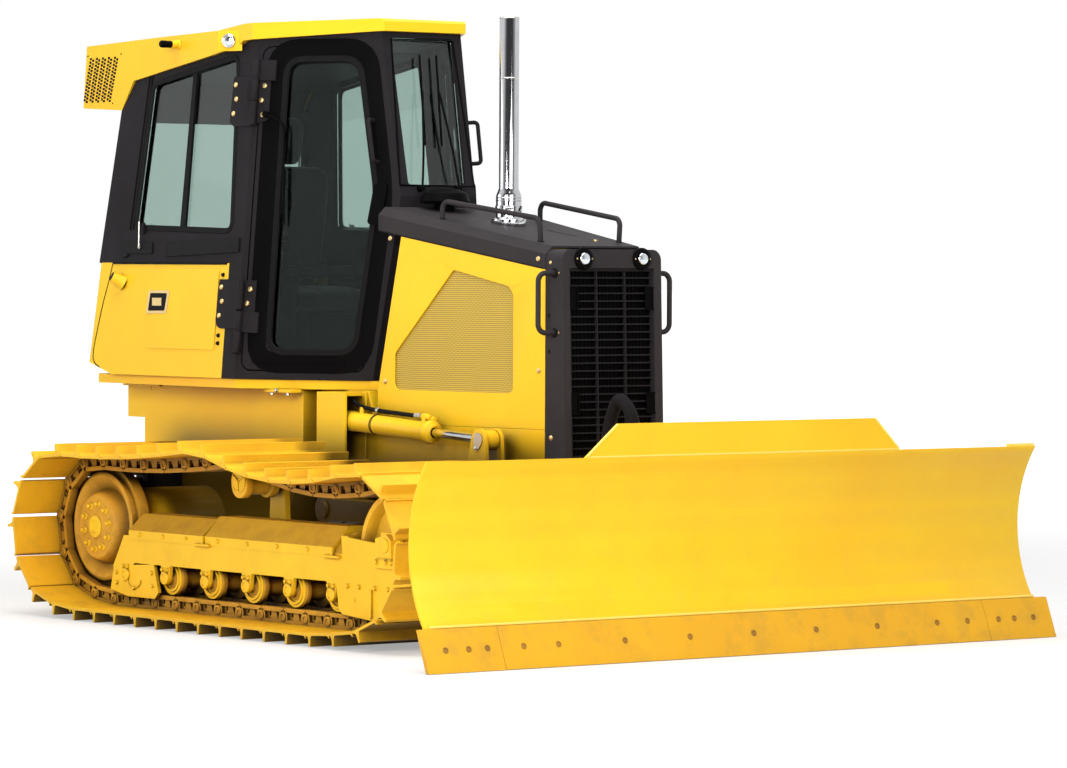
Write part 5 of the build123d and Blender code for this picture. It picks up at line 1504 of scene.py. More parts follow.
@dataclass
class GuardTrim:
    """Headlamps, corner plates, holes and screws of the radiator guard."""

    foot: Point = (1.172, 0.0, 0.470)
    lean: float = 1.7
    lamp: Flat = (0.154, 1.107)
    bezel: tuple[Flat, ...] = (
        (0.0445, 0), (0.0470, 0.003), (0.0465, 0.009), (0.040, 0.0135), (0.031, 0.0165), (0.027, 0.0165),
        (0.0255, 0.0145), (0.004, 0.0145),
    )
    glass: tuple[Flat, ...] = (
        (0.0245, 0.0145), (0.0245, 0.0165), (0.022, 0.0195), (0.015, 0.0215), (0.004, 0.0222),
    )
    opening: float = 0.224
    corners: tuple[Flat, ...] = ((0.900, 0.988), (0.468, 0.552))
    corner_half: float = 0.022
    rim_half: float = 0.003
    cheek: float = 0.262
    cheek_holes: tuple[Flat, ...] = ((1.053, 1.342), (1.056, 1.194))
    cheek_screws: tuple[Point, ...] = ((1.070, 0.838, 0.012), (1.062, 1.560, 0.008))
    handle_feet: Flat = (1.272, 1.517)
    fins: int = 24

    def normal(self) -> Vector:
        """Direction that the face looks in."""
        a = math.radians(self.lean)
        return Vector((math.cos(a), 0, math.sin(a)))

    def face(self, y: float, rise: float, out: float = 0.0) -> Vector:
        """Place on the guard's leaning face.

        Args:
            y: sideways place.
            rise: distance up the face.
            out: distance off it.

        Returns:
            The place.
        """
        ahead = self.normal()
        upwards = Vector((-ahead.z, 0, ahead.x))
        return Vector(self.foot) + upwards * rise + ahead * out + Vector((0, y, 0))

    def sheet(self, made: Forms, low: Flat, high: Flat, out: float, thick: float) -> None:
        """Adds a rectangle of sheet that lies on the face.

        Args:
            made: the mesh that takes it.
            low: its lower corner, as (y, rise).
            high: its upper corner.
            out: distance of its back off the face.
            thick: its thickness.
        """
        made.prism([self.face(y, rise, out) for y, rise in oblong(low, high)], self.normal() * thick)

    def corner_plates(self, made: Forms, sign: int) -> None:
        """Adds the plates in the corners of the grille's opening, with their rims.

        Args:
            made: the mesh that takes them.
            sign: 1 for the left side and -1 for the right.
        """
        wide, rim = self.corner_half, self.rim_half
        middle, inner = sign * (self.opening - wide), sign * (self.opening - 2 * wide)
        for low, high in self.corners:
            self.sheet(made, (middle - wide, low), (middle + wide, high), -0.011, 0.003)
            self.sheet(made, (inner - rim, low), (inner + rim, high), -0.009, 0.006)
            for rise in (low, high):
                self.sheet(made, (middle - wide, rise - rim), (middle + wide, rise + rim), -0.009, 0.006)

    def cheek_parts(self, holes: Forms, screws: Forms, sign: int) -> None:
        """Adds the holes, screws and handle feet of a side wall.

        Args:
            holes: the mesh that takes the holes, thin dark discs of painted shade, and the collars.
            screws: the mesh that takes screws.
            sign: 1 for the left side and -1 for the right.
        """
        y, out = sign * self.cheek, (0, sign, 0)
        # Each hole is a thin dark disc: the shade inside it painted on.
        for x, z in self.cheek_holes:
            holes.lathe([(0.0085, 0), (0.0085, 0.0006), (0.003, 0.0006)], (x, y, z), out, 20)
        for x, z, radius in self.cheek_screws:
            screws.screw((x, y, z), out, radius)
        collar = [(0.021, 0), (0.021, 0.003), (0.014, 0.007), (0.011, 0.007)]
        for z in self.handle_feet:
            holes.lathe(collar, (1.090, y, z), out, 24)
            screws.screw((1.117, y, z), out, 0.005)

    def fronts(self) -> None:
        """Builds lamps, corner plates and the side walls' fasteners."""
        bezel = Forms("lamp_bezels", Finish.BLACK)
        lens = Forms("lamp_lenses", Finish.LENS)
        screws = Forms("guard_screws", Finish.BRASS)
        plates = Forms("grille_corner_plates", Finish.BLACK)
        holes = Forms("guard_side_holes_painted_shade", Finish.GASKET)
        ahead = self.normal()
        for sign in (-1, 1):
            y, rise = sign * self.lamp[0], self.lamp[1]
            bezel.lathe(self.bezel, self.face(y, rise), ahead, 48)
            lens.lathe(self.glass, self.face(y, rise), ahead, 40)
            for shift in (-0.0385, 0.0385):
                screws.screw(self.face(y + shift, rise, 0.0125), ahead, 0.0042)
            self.corner_plates(plates, sign)
            self.cheek_parts(holes, screws, sign)
        for piece in (bezel, lens, screws, plates, holes):
            piece.done()

    def seams(self) -> None:
        """Builds the dark seams between the guard and the hood."""
        made = Forms("guard_seams", Finish.GASKET)
        for sign in (-1, 1):
            made.block((1.0305, sign * (self.cheek + 0.0002), 1.05), (0.003, 0.001, 1.06))
        made.block((1.0305, 0, 1.6055), (0.006, 0.440, 0.019))
        made.done()

    def shroud(self) -> None:
        """Builds the dark core with upright fins behind the grille."""
        made = Forms("radiator_shroud", Finish.BLACK)
        self.sheet(made, (-0.240, 0.020), (0.240, 1.085), -0.034, 0.003)
        for k in range(self.fins):
            y = between(-0.225, 0.225, k / (self.fins - 1))
            self.sheet(made, (y - 0.002, 0.03), (y + 0.002, 1.07), -0.031, 0.004)
        made.done()

    def build(self) -> None:
        """Builds the guard's parts."""
        self.fronts()
        self.seams()
        self.shroud()


# ---- cab
@dataclass
class CabTrim:
    """Window seals, hinge plates, sill fittings, console fittings and wipers."""

    side_window: tuple[Flat, ...] = ((-1.585, 1.710), (-1.520, 2.356), (-0.854, 2.463), (-0.812, 1.691))
    door_window: tuple[Flat, ...] = (
        (-0.578, 1.165), (-0.212, 1.165), (-0.166, 1.846), (-0.276, 2.440), (-0.584, 2.440))
    door_border: tuple[Flat, ...] = (
        (-0.628, 1.119), (-0.178, 1.119), (-0.136, 1.846), (-0.244, 2.484), (-0.630, 2.484))
    hinge_bands: tuple[Flat, ...] = ((1.265, 1.480), (2.150, 2.368))
    hinge_barrels: tuple[Flat, ...] = ((1.348, 1.478), (2.152, 2.258))
    hinge_out: float = 0.026
    hinge_ahead: float = 0.014

    def hinge_axis(self, z: float) -> Vector:
        """Place on the door's hinge line.

        Args:
            z: its height.

        Returns:
            The place.
        """
        a, b = math.radians(CAB_LEAN), math.radians(DOOR_YAW)
        base = Vector(CAB_SILL) + Vector(DOOR_SIDE.normal) * self.hinge_out
        base += Vector((math.cos(b), math.sin(b), 0)) * self.hinge_ahead
        return base + Vector((0, math.sin(a), math.cos(a))) * ((z - CAB_SILL[2]) / math.cos(a))

    def seals(self, side: Side) -> None:
        """Builds the rubber round the windows, the rear one's bars and the door's dark border.

        Args:
            side: the side to build.
        """
        made = Forms("window_seals", Finish.GASKET, side)
        CAB_SIDE.frame_strip(made, self.side_window, 0.014, 0.005, 0.05, -0.001)
        bar = [(-1.227, 1.690), (-1.187, 1.690), (-1.178, 2.430), (-1.206, 2.430)]
        CAB_SIDE.plate(made, bar, -0.014, 0.012)
        for low, high in (((-1.600, 1.70), (-1.528, 2.39)), ((-1.625, 1.70), (-1.550, 2.40))):
            run = [CAB_SIDE.at(*low, 0.003), CAB_SIDE.at(*high, 0.003)]
            made.rod(run[0], run[1], 0.0035, 0.001, 8)
        made.done()
        door = Forms("door_seal", Finish.GASKET, side, body=side.named("door"))
        DOOR_SIDE.frame_strip(door, self.door_window, 0.016, 0.006, 0.075, -0.001)
        door.done()
        band = Forms("door_border", Finish.BLACK, side, body=side.named("door"))
        DOOR_SIDE.frame_strip(band, self.door_border, 0.047, 0.0014, 0.095, -0.0002)
        band.done()

    def hinges(self, side: Side) -> None:
        """Builds hinge leaves on post and door with three round heads each.

        Args:
            side: the side to build.
        """
        post = Forms("hinge_leaves", Finish.CHARCOAL, side)
        leaf = Forms("door_leaves", Finish.CHARCOAL, side, body=side.named("door"))
        heads = Forms("hinge_heads", Finish.BRASS, side)
        door_heads = Forms("door_hinge_heads", Finish.BRASS, side, body=side.named("door"))
        for (low, high), (foot, head) in zip(self.hinge_bands, self.hinge_barrels):
            plate = [(-0.868, high), (-0.878, low + 0.035), (-0.866, low + 0.010), (-0.842, low),
                     (-0.722, low), (-0.722, high)]
            CAB_SIDE.plate(post, plate, 0.0, 0.009)
            band = [(-0.702, high - 0.004), (-0.702, low + 0.012), (-0.655, low + 0.020),
                    (-0.643, low + 0.036), (-0.643, high - 0.004)]
            DOOR_SIDE.plate(leaf, band, 0.0, 0.007)
            for share, shift, turn in ((0.84, 0.0, 0.006), (0.55, 0.012, -0.004), (0.26, -0.003, 0.004)):
                z = between(low, high, share)
                heads.screw(CAB_SIDE.at(-0.846 + shift, z, 0.009), CAB_SIDE.normal, 0.0125)
                door_heads.screw(DOOR_SIDE.at(-0.673 + turn, z - 0.008, 0.007), DOOR_SIDE.normal, 0.0135)
            start, end = self.hinge_axis(foot), self.hinge_axis(head)
            post.rod(start, end, 0.0145, 0.002)
            post.prism([CAB_SIDE.at(-0.745, foot), CAB_SIDE.at(-0.722, foot), start], end - start)
        for made, edge in ((post, 0.0012), (leaf, 0.0012), (heads, 0), (door_heads, 0)):
            made.done(edge=edge)

    def sill(self, side: Side) -> None:
        """Builds the latch, its rod and the stepped strip under the side window.

        Args:
            side: the side to build.
        """
        made = Forms("sill_fittings", Finish.TRIM, side, slot="charcoal_paint")
        pad = [(-1.696, 1.645), (-1.431, 1.645), (-1.424, 1.592), (-1.688, 1.592)]
        strip = [(-1.319, 1.640), (-0.740, 1.662), (-0.740, 1.600), (-1.311, 1.578)]
        handle = [(-1.700, 1.585), (-1.655, 1.600), (-1.610, 1.585), (-1.660, 1.568)]
        CAB_SIDE.plate(made, rounded(pad, 0.012, 3), 0.0, 0.007)
        CAB_SIDE.plate(made, strip, 0.0, 0.010)
        CAB_SIDE.plate(made, rounded(handle, 0.02, 3), 0.0, 0.012)
        made.block(CAB_SIDE.at(-1.505, 1.706, 0.008), (0.016, 0.016, 0.05), 0.003)
        made.done(edge=0.0015)
        rod = Forms("sill_latch_rod", Finish.STEEL, side)
        top, foot = (-1.533, 1.735), (-1.521, 1.622)
        rod.rod(CAB_SIDE.at(*top, 0.016), CAB_SIDE.at(*foot, 0.016), 0.0038, 0.001, 10)
        button = [(0.010, 0), (0.010, 0.006), (0.006, 0.009)]
        rod.lathe(button, CAB_SIDE.at(*foot, 0.010), CAB_SIDE.normal, 16)
        rod.done()

    def console(self, side: Side) -> None:
        """Builds the side console's seam, latch, fasteners and filler spout.

        Args:
            side: the side to build.
        """
        dark = Forms("console_seams", Finish.GASKET, side)
        seam = [(-1.748, 1.552), (-1.772, 1.470), (-1.806, 1.370), (-1.838, 1.250), (-1.860, 1.145),
                (-1.846, 1.100), (-1.800, 1.076)]
        dark.tube([CAB_SIDE.at(x, z, 0.0004) for x, z in seam], 0.0024, 8, 6)
        dark.tube([CAB_SIDE.at(x, 1.549, 0.002) for x in (-1.745, -1.3, -0.83)], 0.0045, 8, 2)
        latch = rounded([(-1.414, 1.416), (-1.280, 1.416), (-1.292, 1.338), (-1.424, 1.336)], 0.006, 2)
        CAB_SIDE.plate(dark, latch, 0.0065, 0.0006)
        dark.done()
        plate = Forms("console_latch", Finish.BRASS, side)
        surround = [(-1.430, 1.428), (-1.262, 1.428), (-1.276, 1.326), (-1.441, 1.324)]
        CAB_SIDE.plate(plate, rounded(surround, 0.008, 3), 0.004, 0.0025)
        plate.block(CAB_SIDE.at(-1.354, 1.377, 0.0075), (0.074, 0.006, 0.036), 0.001)
        plate.done(edge=0.0008)
        small = Forms("console_fasteners", Finish.TRIM, side, slot="charcoal_paint")
        for x, z in ((-0.852, 1.500), (-0.856, 1.234), (-0.856, 1.200)):
            small.bolt(CAB_SIDE.at(x, z, 0.0), CAB_SIDE.normal, 0.014)
        spout_at, out = CAB_SIDE.at(-1.655, 1.462, -0.004), Vector((-0.30, -0.80, 0.42))
        small.lathe([(0.0215, 0.0625), (0.0215, 0.0632), (0.004, 0.0632)], spout_at, out, 24)
        small.done()
        spout = Forms("filler_spout", Finish.YELLOW, side)
        spout.lathe([(0.036, 0), (0.032, 0.010), (0.028, 0.020), (0.028, 0.056), (0.0265, 0.062),
                     (0.004, 0.062)],
                    spout_at, out, 32)
        spout.done()

    def door_parts(self, side: Side) -> None:
        """Builds the door's wiper, lock and sill strip.

        Args:
            side: the side to build.
        """
        made = Forms("door_fittings", Finish.BLACK, side, body=side.named("door"))
        arm = [(-0.652, 2.200), (-0.610, 2.180), (-0.572, 2.145), (-0.562, 2.041), (-0.549, 1.770)]
        made.tube([DOOR_SIDE.at(x, z, 0.018) for x, z in arm], 0.0055, 10, 6)
        made.rod(DOOR_SIDE.at(*arm[0], -0.002), DOOR_SIDE.at(*arm[0], 0.026), 0.014, 0.002)
        blade = [DOOR_SIDE.at(-0.568, 2.06, 0.008), DOOR_SIDE.at(-0.545, 1.72, 0.008)]
        made.rod(*blade, 0.005, 0.001, 8)
        lock = [(-0.195, 1.72), (-0.135, 1.72), (-0.120, 1.90), (-0.175, 1.90)]
        DOOR_SIDE.plate(made, rounded(lock, 0.02, 4), 0.0, 0.014)
        DOOR_SIDE.plate(made, rounded(oblong((-0.640, 1.118), (-0.250, 1.128)), 0.004, 2), 0.0, 0.005)
        made.done(edge=0.0008)

    def screen(self) -> None:
        """Windscreen seal and two wipers."""
        low, high = Vector((-0.066, 0, 1.846)), Vector((-0.200, 0, 2.578))
        run = (high - low).normalized()
        ahead = Vector((run.z, 0, -run.x))

        def at(y: float, rise: float, out: float) -> Vector:
            """Place on the windscreen's face."""
            return low + run * rise + Vector((0, y, 0)) + ahead * out

        made = Forms("screen_wipers", Finish.BLACK)
        for y0, y1 in ((-0.10, -0.04), (0.10, 0.05)):
            made.rod(at(y0, 0.03, 0.0), at(y0, 0.03, 0.03), 0.014, 0.002)
            arm = [at(y0, 0.03, 0.026), at(between(y0, y1, 0.4), 0.20, 0.030), at(y1, 0.46, 0.018)]
            made.tube(arm, 0.005, 10, 6)
            made.rod(at(y1 - 0.01, 0.22, 0.010), at(y1 + 0.01, 0.62, 0.010), 0.005, 0.001, 8)
        seal = [(-0.20, 0.045), (0.20, 0.045), (0.165, 0.69), (-0.165, 0.69)]
        made.tube([at(y, r, 0.0) for y, r in (*seal, seal[0])], 0.005, 8, 1)
        made.done()

    def build(self) -> None:
        """Builds both sides and the windscreen."""
        for side in Side:
            self.seals(side)
            self.hinges(side)
            self.sill(side)
            self.console(side)
            self.door_parts(side)
        self.screen()


@dataclass
class RoofTrim:
    """Vents, knobs, work lamps and the lining of the roof."""

    face: float = 0.528
    columns: int = 5
    rows: int = 13
    vents_top: Flat = (-2.035, -1.782)
    vents_foot: Flat = (-2.093, -1.850)
    vents_high: Flat = (2.486, 2.284)
    screws: tuple[Flat, ...] = ((-2.050, 2.496), (-1.772, 2.498), (-1.842, 2.276))
    knob_at: Flat = (-1.302, 2.525)
    lamp_at: Point = (-0.862, -0.5535, 2.527)
    lamp_looks: Point = (0.545, -0.838, 0)

    def vents(self, side: Side) -> None:
        """Builds the staggered field of square vents in a side wall, each a thin dark mark: the shade
        inside the opening painted on.

        Args:
            side: the side to build.
        """
        made = Forms("roof_vents_painted_shade", Finish.GASKET, side)
        for column in range(self.columns):
            for k in range(2):
                for row in range(self.rows):
                    u = (column + 0.22 + 0.42 * k) / self.columns
                    v = (row + 0.25 + 0.5 * k) / self.rows
                    ends = [between(top, foot, v) for top, foot in zip(self.vents_top, self.vents_foot)]
                    z = between(*self.vents_high, v)
                    made.block((between(*ends, u), -self.face - 0.0002, z), (0.0165, 0.0012, 0.0105))
        for x, z in self.screws:
            made.screw((x, -self.face, z), OUTWARD, 0.004)
        made.done()

    def knobs(self, side: Side) -> None:
        """Builds the knob with its boss, and the bracket of the work lamp.

        Args:
            side: the side to build.
        """
        at = (self.knob_at[0], -self.face, self.knob_at[1])
        boss = Forms("roof_bosses", Finish.YELLOW, side)
        boss.lathe([(0.024, 0), (0.022, 0.006), (0.0185, 0.008), (0.0185, 0.040)], at, OUTWARD, 28)
        bracket = [(-0.910, -0.520, 2.482), (-0.910, -0.585, 2.482), (-0.810, -0.520, 2.482)]
        boss.prism(bracket, (0, 0, 0.090))
        boss.done(edge=0.002)
        knob = Forms("roof_knobs", Finish.BLACK, side)
        grip = [(0.012, 0.040), (0.0155, 0.044), (0.0165, 0.085), (0.0155, 0.094), (0.010, 0.099)]
        knob.lathe(grip, at, OUTWARD, 24)
        knob.done()

    def work_lamp(self, side: Side) -> None:
        """Builds a work lamp's bright rim and its lens.

        Args:
            side: the side to build.
        """
        rim = Forms("work_lamp_rims", Finish.CHROME, side)
        ring = [(0.030, 0), (0.0315, 0.004), (0.0305, 0.012), (0.026, 0.0145), (0.0235, 0.0125),
                (0.004, 0.0125)]
        rim.lathe(ring, self.lamp_at, self.lamp_looks, 40)
        rim.done()
        lens = Forms("work_lamp_lenses", Finish.LENS, side)
        glass = [(0.0225, 0.0125), (0.0225, 0.014), (0.018, 0.0165), (0.004, 0.0178)]
        lens.lathe(glass, self.lamp_at, self.lamp_looks, 36)
        lens.done()

    def lining(self) -> None:
        """Builds the lining under the roof, as wide as the cab and narrower at the front."""
        thick = 0.006
        made = Forms("cab_lining", Finish.TRIM)
        under = [(-1.735, 2.232), (-1.650, 2.352), (-0.850, 2.476), (-0.800, 2.498)]
        over = [(x, z + thick) for x, z in reversed(under)]
        made.prism([(x, -0.440, z) for x, z in under + over], (0, 0.880, 0))
        front = [(-0.800, -0.420, 2.498), (-0.262, -0.190, 2.520), (-0.262, 0.190, 2.520),
                 (-0.800, 0.420, 2.498)]
        made.prism(front, (0, 0, thick))
        made.done()

    def build(self) -> None:
        """Builds both sides and the lining."""
        for side in Side:
            self.vents(side)
            self.knobs(side)
            self.work_lamp(side)
        self.lining()


@dataclass
class Interior:
    """Padded seat, levers and grab bars behind the glass."""

    def cushion(self, name: str, pose: Matrix, size: Point, crown: float,
                grooves: Sequence[float]) -> bpy.types.Object:
        """Builds one crowned cushion with sewn channels.

        Args:
            name: the piece's name.
            pose: its middle and axes: X along, Y across, Z outwards.
            size: length, width and thickness.
            crown: extra rise of its middle, as a share of the thickness.
            grooves: places of the sewn channels across, as shares of half the width.

        Returns:
            The piece.
        """
        made = Forms(name, Finish.CLOTH)
        made.pose = pose
        length, width, thick = (s / 2 for s in size)
        rings = []
        for i in range(33):
            u = -math.cos(math.pi * i / 32) * 0.998
            end = (1 - abs(u) ** 4) ** 0.25
            ring = []
            for k in range(64):
                a = math.tau * k / 64
                c, s = math.cos(a), math.sin(a)
                y = math.copysign(abs(c) ** 0.5, c) * (1 - 0.05 * (1 - abs(s)) * (1 - u * u))
                z = math.copysign(abs(s) ** 0.55, s) * end
                if s > 0:
                    z *= 1 + crown * (1 - u * u) * (1 - y * y)
                    z -= sum(0.16 * math.exp(-(((y - g) / 0.045) ** 2)) for g in grooves) * (1 - u**4)
                ring.append((u * length, y * width * (0.5 + 0.5 * end), z * thick))
            rings.append(ring)
        made.loft(rings)
        piece = made.done(smooth=80)
        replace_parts(piece, "seat")
        return piece

    def seat(self) -> None:
        """Seat, back and head cushions."""
        tilt = Matrix.Rotation(math.radians(-80), 4, "Y")
        flat = Matrix.Identity(4)
        for name, middle, turn, size, crown, grooves in (
            ("seat_cushion", (-0.995, 0, 1.385), flat, (0.46, 0.43, 0.11), 0.25, (-0.62, 0.62)),
            ("seat_back", (-1.215, 0, 1.715), tilt, (0.55, 0.41, 0.10), 0.22, (-0.62, 0.0, 0.62)),
            ("seat_head", (-1.285, 0, 2.105), tilt, (0.21, 0.25, 0.085), 0.2, ()),
        ):
            self.cushion(name, Matrix.Translation(middle) @ turn, size, crown, grooves)

    def controls(self) -> None:
        """Levers with boots and the armrest tubes."""
        made = Forms("cab_levers", Finish.TRIM)
        for sign in (-1, 1):
            foot = (-0.83, sign * 0.290, 1.635)
            made.lathe([(0.045, 0), (0.042, 0.012), (0.030, 0.022), (0.032, 0.028), (0.022, 0.040),
                        (0.012, 0.05)],
                       foot, UP, 24)
            made.tube([(-0.83, sign * 0.29, 1.68), (-0.81, sign * 0.288, 1.74),
                       (-0.80, sign * 0.285, 1.80)], 0.010)
            made.lathe([(0.016, 0), (0.023, 0.014), (0.024, 0.050), (0.020, 0.078), (0.010, 0.088)],
                       (-0.80, sign * 0.285, 1.79), (0.05, 0, 1), 24)
        made.rod((-0.775, -0.30, 1.516), (-0.34, -0.235, 1.516), 0.030, 0.006, 28)
        made.done(edge=0.001)

    def build(self) -> None:
        """Builds the seat and controls."""
        self.seat()
        self.controls()


@dataclass
class PlatformTrim:
    """Bracket caps and bolts under the cab and along the frame."""

    def build(self) -> None:
        """Builds both sides."""
        for side in Side:
            made = Forms("platform_brackets", Finish.YELLOW, side)
            made.block((-1.704, -0.382, 0.9985), (0.300, 0.160, 0.014), 0.002)
            made.block((-1.695, -0.4475, 0.985), (0.110, 0.004, 0.022), 0.001)
            made.block((-0.520, -0.500, 0.998), (0.200, 0.060, 0.0155), 0.002)
            made.side(oblong((0.50, 0.66), (0.84, 0.83)), -0.318, -0.003)
            made.done(edge=0.001)
            bolts = Forms("platform_bolts", Finish.STEEL, side)
            for x in (-0.58, -0.46):
                bolts.bolt((x, -0.515, 0.990), (0, 0, -1), 0.016)
            bolts.bolt((-0.520, -0.532, 1.000), OUTWARD, 0.014)
            bolts.done()


@dataclass
class RearTrim:
    """Service panels, louvres and fasteners on the back and the roof."""

    slope: float = 0.0933
    case_x: float = -1.6935

    def tank(self, y: float, z: float, out: float = 0.0) -> Vector:
        """Place on the tank's leaning back wall."""
        return Vector((-1.897 + self.slope * (z - 1.2) - out, y, z + out * self.slope))

    def roof_back(self, y: float, z: float) -> Vector:
        """Place on the roof's back wall."""
        return Vector((-2.0888 + self.slope * (z - 2.26), y, z))

    def panels(self) -> None:
        """Raised covers on the tank, the case and the roof."""
        made = Forms("rear_panels", Finish.YELLOW)
        cover = rounded(oblong((-0.31, 1.165), (0.31, 1.475)), 0.035, 5)
        made.prism([self.tank(y, z, -0.002) for y, z in cover],
                   self.tank(0, 1.3, 0.005) - self.tank(0, 1.3))
        plate = rounded(oblong((-0.235, 0.690), (0.235, 0.945)), 0.03, 5)
        made.prism([(self.case_x + 0.002, y, z) for y, z in plate], (-0.010, 0, 0))
        top = rounded(oblong((-1.975, -0.37), (-1.130, 0.37)), 0.05, 6)
        made.prism([(x, y, 2.544 + (x + 1.975) * 0.0345) for x, y in top], (0, 0, 0.005))
        made.done(edge=0.0015)

    def fittings(self) -> None:
        """Hinges, latch and bolts of the covers."""
        made = Forms("rear_fittings", Finish.STEEL)
        back = (-1, 0, self.slope)
        for z in (1.235, 1.405):
            ends = [self.tank(-0.322, z + shift, 0.006) for shift in (-0.03, 0.03)]
            made.rod(*ends, 0.008, 0.001, 16)
        made.lathe([(0.026, 0), (0.025, 0.004), (0.016, 0.006), (0.014, 0.004), (0.004, 0.004)],
                   self.tank(0.262, 1.320, 0.003), back, 28)
        for y in (-0.205, 0.0, 0.205):
            for z in (0.715, 0.920):
                made.bolt((self.case_x - 0.008, y, z), BACK, 0.018)
        for x in (-1.94, -1.55, -1.165):
            for y in (-0.34, 0.34):
                made.bolt((x, y, 2.549 + (x + 1.975) * 0.0345), UP, 0.016)
        made.done(edge=0.0006)

    def louvres(self) -> None:
        """Field of square vents in the roof's back wall, each a thin dark mark: the shade inside the
        opening painted on.
        """
        made = Forms("rear_vents_painted_shade", Finish.GASKET)
        for row in range(8):
            for column in range(28):
                y = between(-0.36, 0.36, (column + 0.25 + 0.5 * (row % 2)) / 28)
                made.block(self.roof_back(y, between(2.325, 2.465, row / 7)), (0.0012, 0.0150, 0.0105))
        made.done()

    def build(self) -> None:
        """Builds the panels, their fittings and the vents."""
        self.panels()
        self.fittings()
        self.louvres()


# ---- frame nodes
@dataclass
class Bodywork:
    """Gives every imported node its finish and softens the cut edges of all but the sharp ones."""

    edge: float = 0.0025
    nodes: dict[Finish, tuple[str, ...]] = field(default_factory=lambda: {
        Finish.EDGE: ("cutting_edge",),
        Finish.IRON: ("engine",),
        Finish.CHROME: ("exhaust",),
        Finish.BLACK: ("air_intake",),
        Finish.GRAPHITE: ("radiator_guard", "hood_top", "handrails", "guard_handles"),
        Finish.CHARCOAL: ("grille", "cab_frame", "door_right", "door_left", "door_hinges"),
        Finish.GLASS: ("cab_glass", "door_glass_right", "door_glass_left"),
        Finish.LENS: ("headlamps",),
        Finish.SCREEN: ("side_screens",),
        Finish.TRIM: ("operator_station",),
        Finish.CLOTH: ("seat",),
        Finish.SLEEVE: ("hose_sleeve",),
        Finish.TRACK: ("track_right", "track_left", "idlers", "carrier_rollers"),
        Finish.FRAME: ("track_frame_right", "track_frame_left"),
        Finish.CHAIN: ("sprockets", "track_rollers"),
    })
    sharp: tuple[str, ...] = (
        "cab_glass", "door_glass_right", "door_glass_left", "hose_sleeve", "side_screens", "grille",
    )

    def finish_of(self, node: str) -> Finish:
        """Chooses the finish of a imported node.

        Args:
            node: its name.

        Returns:
            The finish.
        """
        for finish, names in self.nodes.items():
            if node in names:
                return finish
        return Finish.CHROME if "_rod" in node else Finish.YELLOW

    def dress(self) -> None:
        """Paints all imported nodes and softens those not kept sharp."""
        for name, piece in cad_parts.items():
            piece.data.materials.clear()
            piece.data.materials.append(self.finish_of(name).material())
            if name not in self.sharp:
                soften(piece, self.edge)
            log.info("node %s painted %s", name, self.finish_of(name).value.name)


# ---- studio
@dataclass(frozen=True)
class Softbox:
    """A soft square lamp."""

    name: str
    place: Point
    size: float
    power: float
    mirrored: bool = True


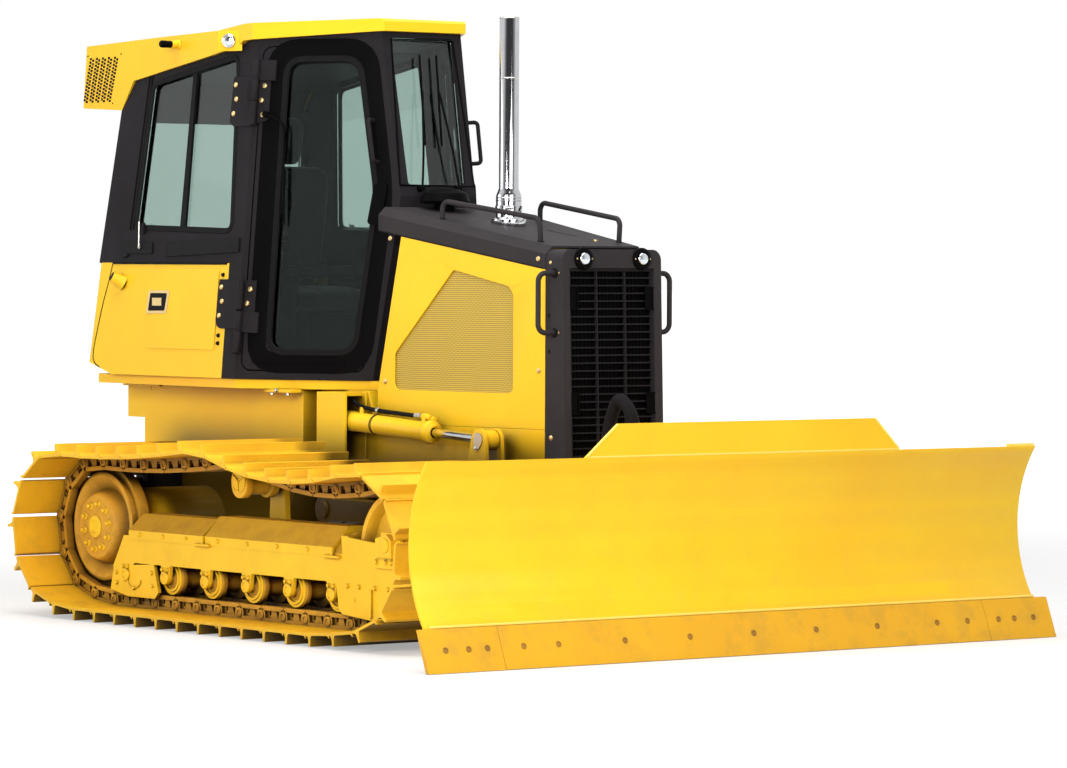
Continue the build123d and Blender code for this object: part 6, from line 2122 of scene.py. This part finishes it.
@dataclass
class Studio:
    """White sweep, soft lamps and the camera."""

    sensor: float = 36.0
    lens: float = 162.9953
    azimuth: float = 52.218
    elevation: float = 1.44
    roll: float = 0.256
    eye: Point = (16.734, -12.497, 1.560)
    aim: Point = (0.2, 0.0, 0.9)
    floor_tone: float = 0.58
    near_glow: float = 0.36
    glow_fade: Flat = (8.5, 11.0)
    fill: float = 0.26
    mirror: Flat = (0.8, 0.05)
    front_right: Point = (0.79, -0.61, 0.0)
    lamps: tuple[Softbox, ...] = (
        Softbox("overhead", (0.8, -1.0, 7.0), 6.0, 400),
        Softbox("key", (6.2, -9.6, 4.2), 4.5, 760),
        Softbox("front", (8.0, -1.5, 3.6), 4.0, 190),
        Softbox("rear_right", (-6.0, -6.5, 3.2), 4.0, 80),
        Softbox("rear", (-8.5, 2.5, 3.0), 4.0, 200, mirrored=False),
        Softbox("left", (3.0, 8.5, 3.2), 4.0, 160, mirrored=False),
    )

    def floor(self) -> None:
        """Lays a white floor that keeps the machine's shadow and glows to the far white."""
        bpy.ops.mesh.primitive_plane_add(size=400, location=(0, 0, -0.0015))
        plane = bpy.context.object
        plane.name = "studio_floor"
        g = Graph.of_finish("studio_white")
        matt = g.value("ShaderNodeBsdfDiffuse", {}, {"Color": (*(self.floor_tone,) * 3, 1)})
        x, y, _ = g.axes()
        far = (x * x + y * y).root().above(*self.glow_fade)
        tone = g.blend(far, (self.near_glow,) * 3, (1.0,) * 3)
        glow = g.value("ShaderNodeEmission", {}, {"Color": tone, "Strength": 1.0})
        lit = g.value("ShaderNodeAddShader", {}, {0: matt, 1: glow})
        shown = g.mix(g.rays("Camera", "Glossy", "Transmission"), matt, lit)
        plane.data.materials.append(g.finish(shown))

    def surround(self) -> None:
        """Makes the world white to the eye and dimmer as light and as a reflection."""
        world = bpy.data.worlds.new("studio")
        bpy.context.scene.world = world
        g = Graph(world)
        where = g.value("ShaderNodeTexCoord", {}, {}, "Generated")
        facing = {"operation": "DOT_PRODUCT"}
        toward = g.value("ShaderNodeVectorMath", facing, {0: where, 1: self.front_right}, "Value")
        away, near = self.mirror
        span = {"Value": toward, "From Min": 0.15, "From Max": 0.75, "To Min": away, "To Max": near}
        mirror = g.value("ShaderNodeMapRange", {"interpolation_type": "SMOOTHSTEP"}, span)
        light, mirrored, seen = (
            g.value("ShaderNodeBackground", {}, {"Color": (1, 1, 1, 1), "Strength": strength})
            for strength in (self.fill, mirror, 1.0)
        )
        unseen = g.mix(g.rays("Glossy"), light, mirrored)
        g.finish(g.mix(g.rays("Camera", "Transmission"), unseen, seen))

    def hang(self, box: Softbox) -> None:
        """Hangs a lamp so that it looks at the machine.

        Args:
            box: the lamp.
        """
        data = bpy.data.lights.new(box.name, "AREA")
        data.shape = "SQUARE"
        data.size = box.size
        data.energy = box.power
        lamp = bpy.data.objects.new(box.name, data)
        bpy.context.scene.collection.objects.link(lamp)
        lamp.location = box.place
        lamp.visible_transmission = False
        lamp.visible_glossy = box.mirrored
        lamp.rotation_mode = "QUATERNION"
        lamp.rotation_quaternion = (Vector(box.place) - Vector(self.aim)).to_track_quat("Z", "Y")

    def camera(self) -> None:
        """Sets the long-lens view from the front right."""
        data = bpy.data.cameras.new("view")
        data.sensor_width = self.sensor
        data.lens = self.lens
        data.clip_end = 500
        camera = bpy.data.objects.new("view", data)
        bpy.context.scene.collection.objects.link(camera)
        a, e, turn = (math.radians(angle) for angle in (self.azimuth, self.elevation, self.roll))
        back = Vector((math.sin(a) * math.cos(e), -math.cos(a) * math.cos(e), math.sin(e)))
        right = Vector(UP).cross(back).normalized()
        up = back.cross(right)
        axes = (math.cos(turn) * right + math.sin(turn) * up,
                math.cos(turn) * up - math.sin(turn) * right, back)
        camera.matrix_world = Matrix.Translation(self.eye) @ Matrix(axes).transposed().to_4x4()
        bpy.context.scene.camera = camera

    def build(self) -> None:
        """Sets up floor, surround, lamps and camera."""
        bpy.context.scene.view_settings.view_transform = "Standard"
        self.floor()
        self.surround()
        for box in self.lamps:
            self.hang(box)
        self.camera()
        log.info("studio ready")


def main() -> None:
    """Builds every sub-assembly in order."""
    logging.basicConfig(level=logging.INFO, format="%(name)s: %(message)s")
    Bodywork().dress()
    for side in Side:
        TrackLoop(side).build()
    for part in (Undercarriage, BladeTrim, RamTrim, HoodTrim, GuardTrim, CabTrim, RoofTrim, Interior,
                 PlatformTrim, RearTrim):
        part().build()
    Studio().build()


if __name__ == "__main__":
    main()
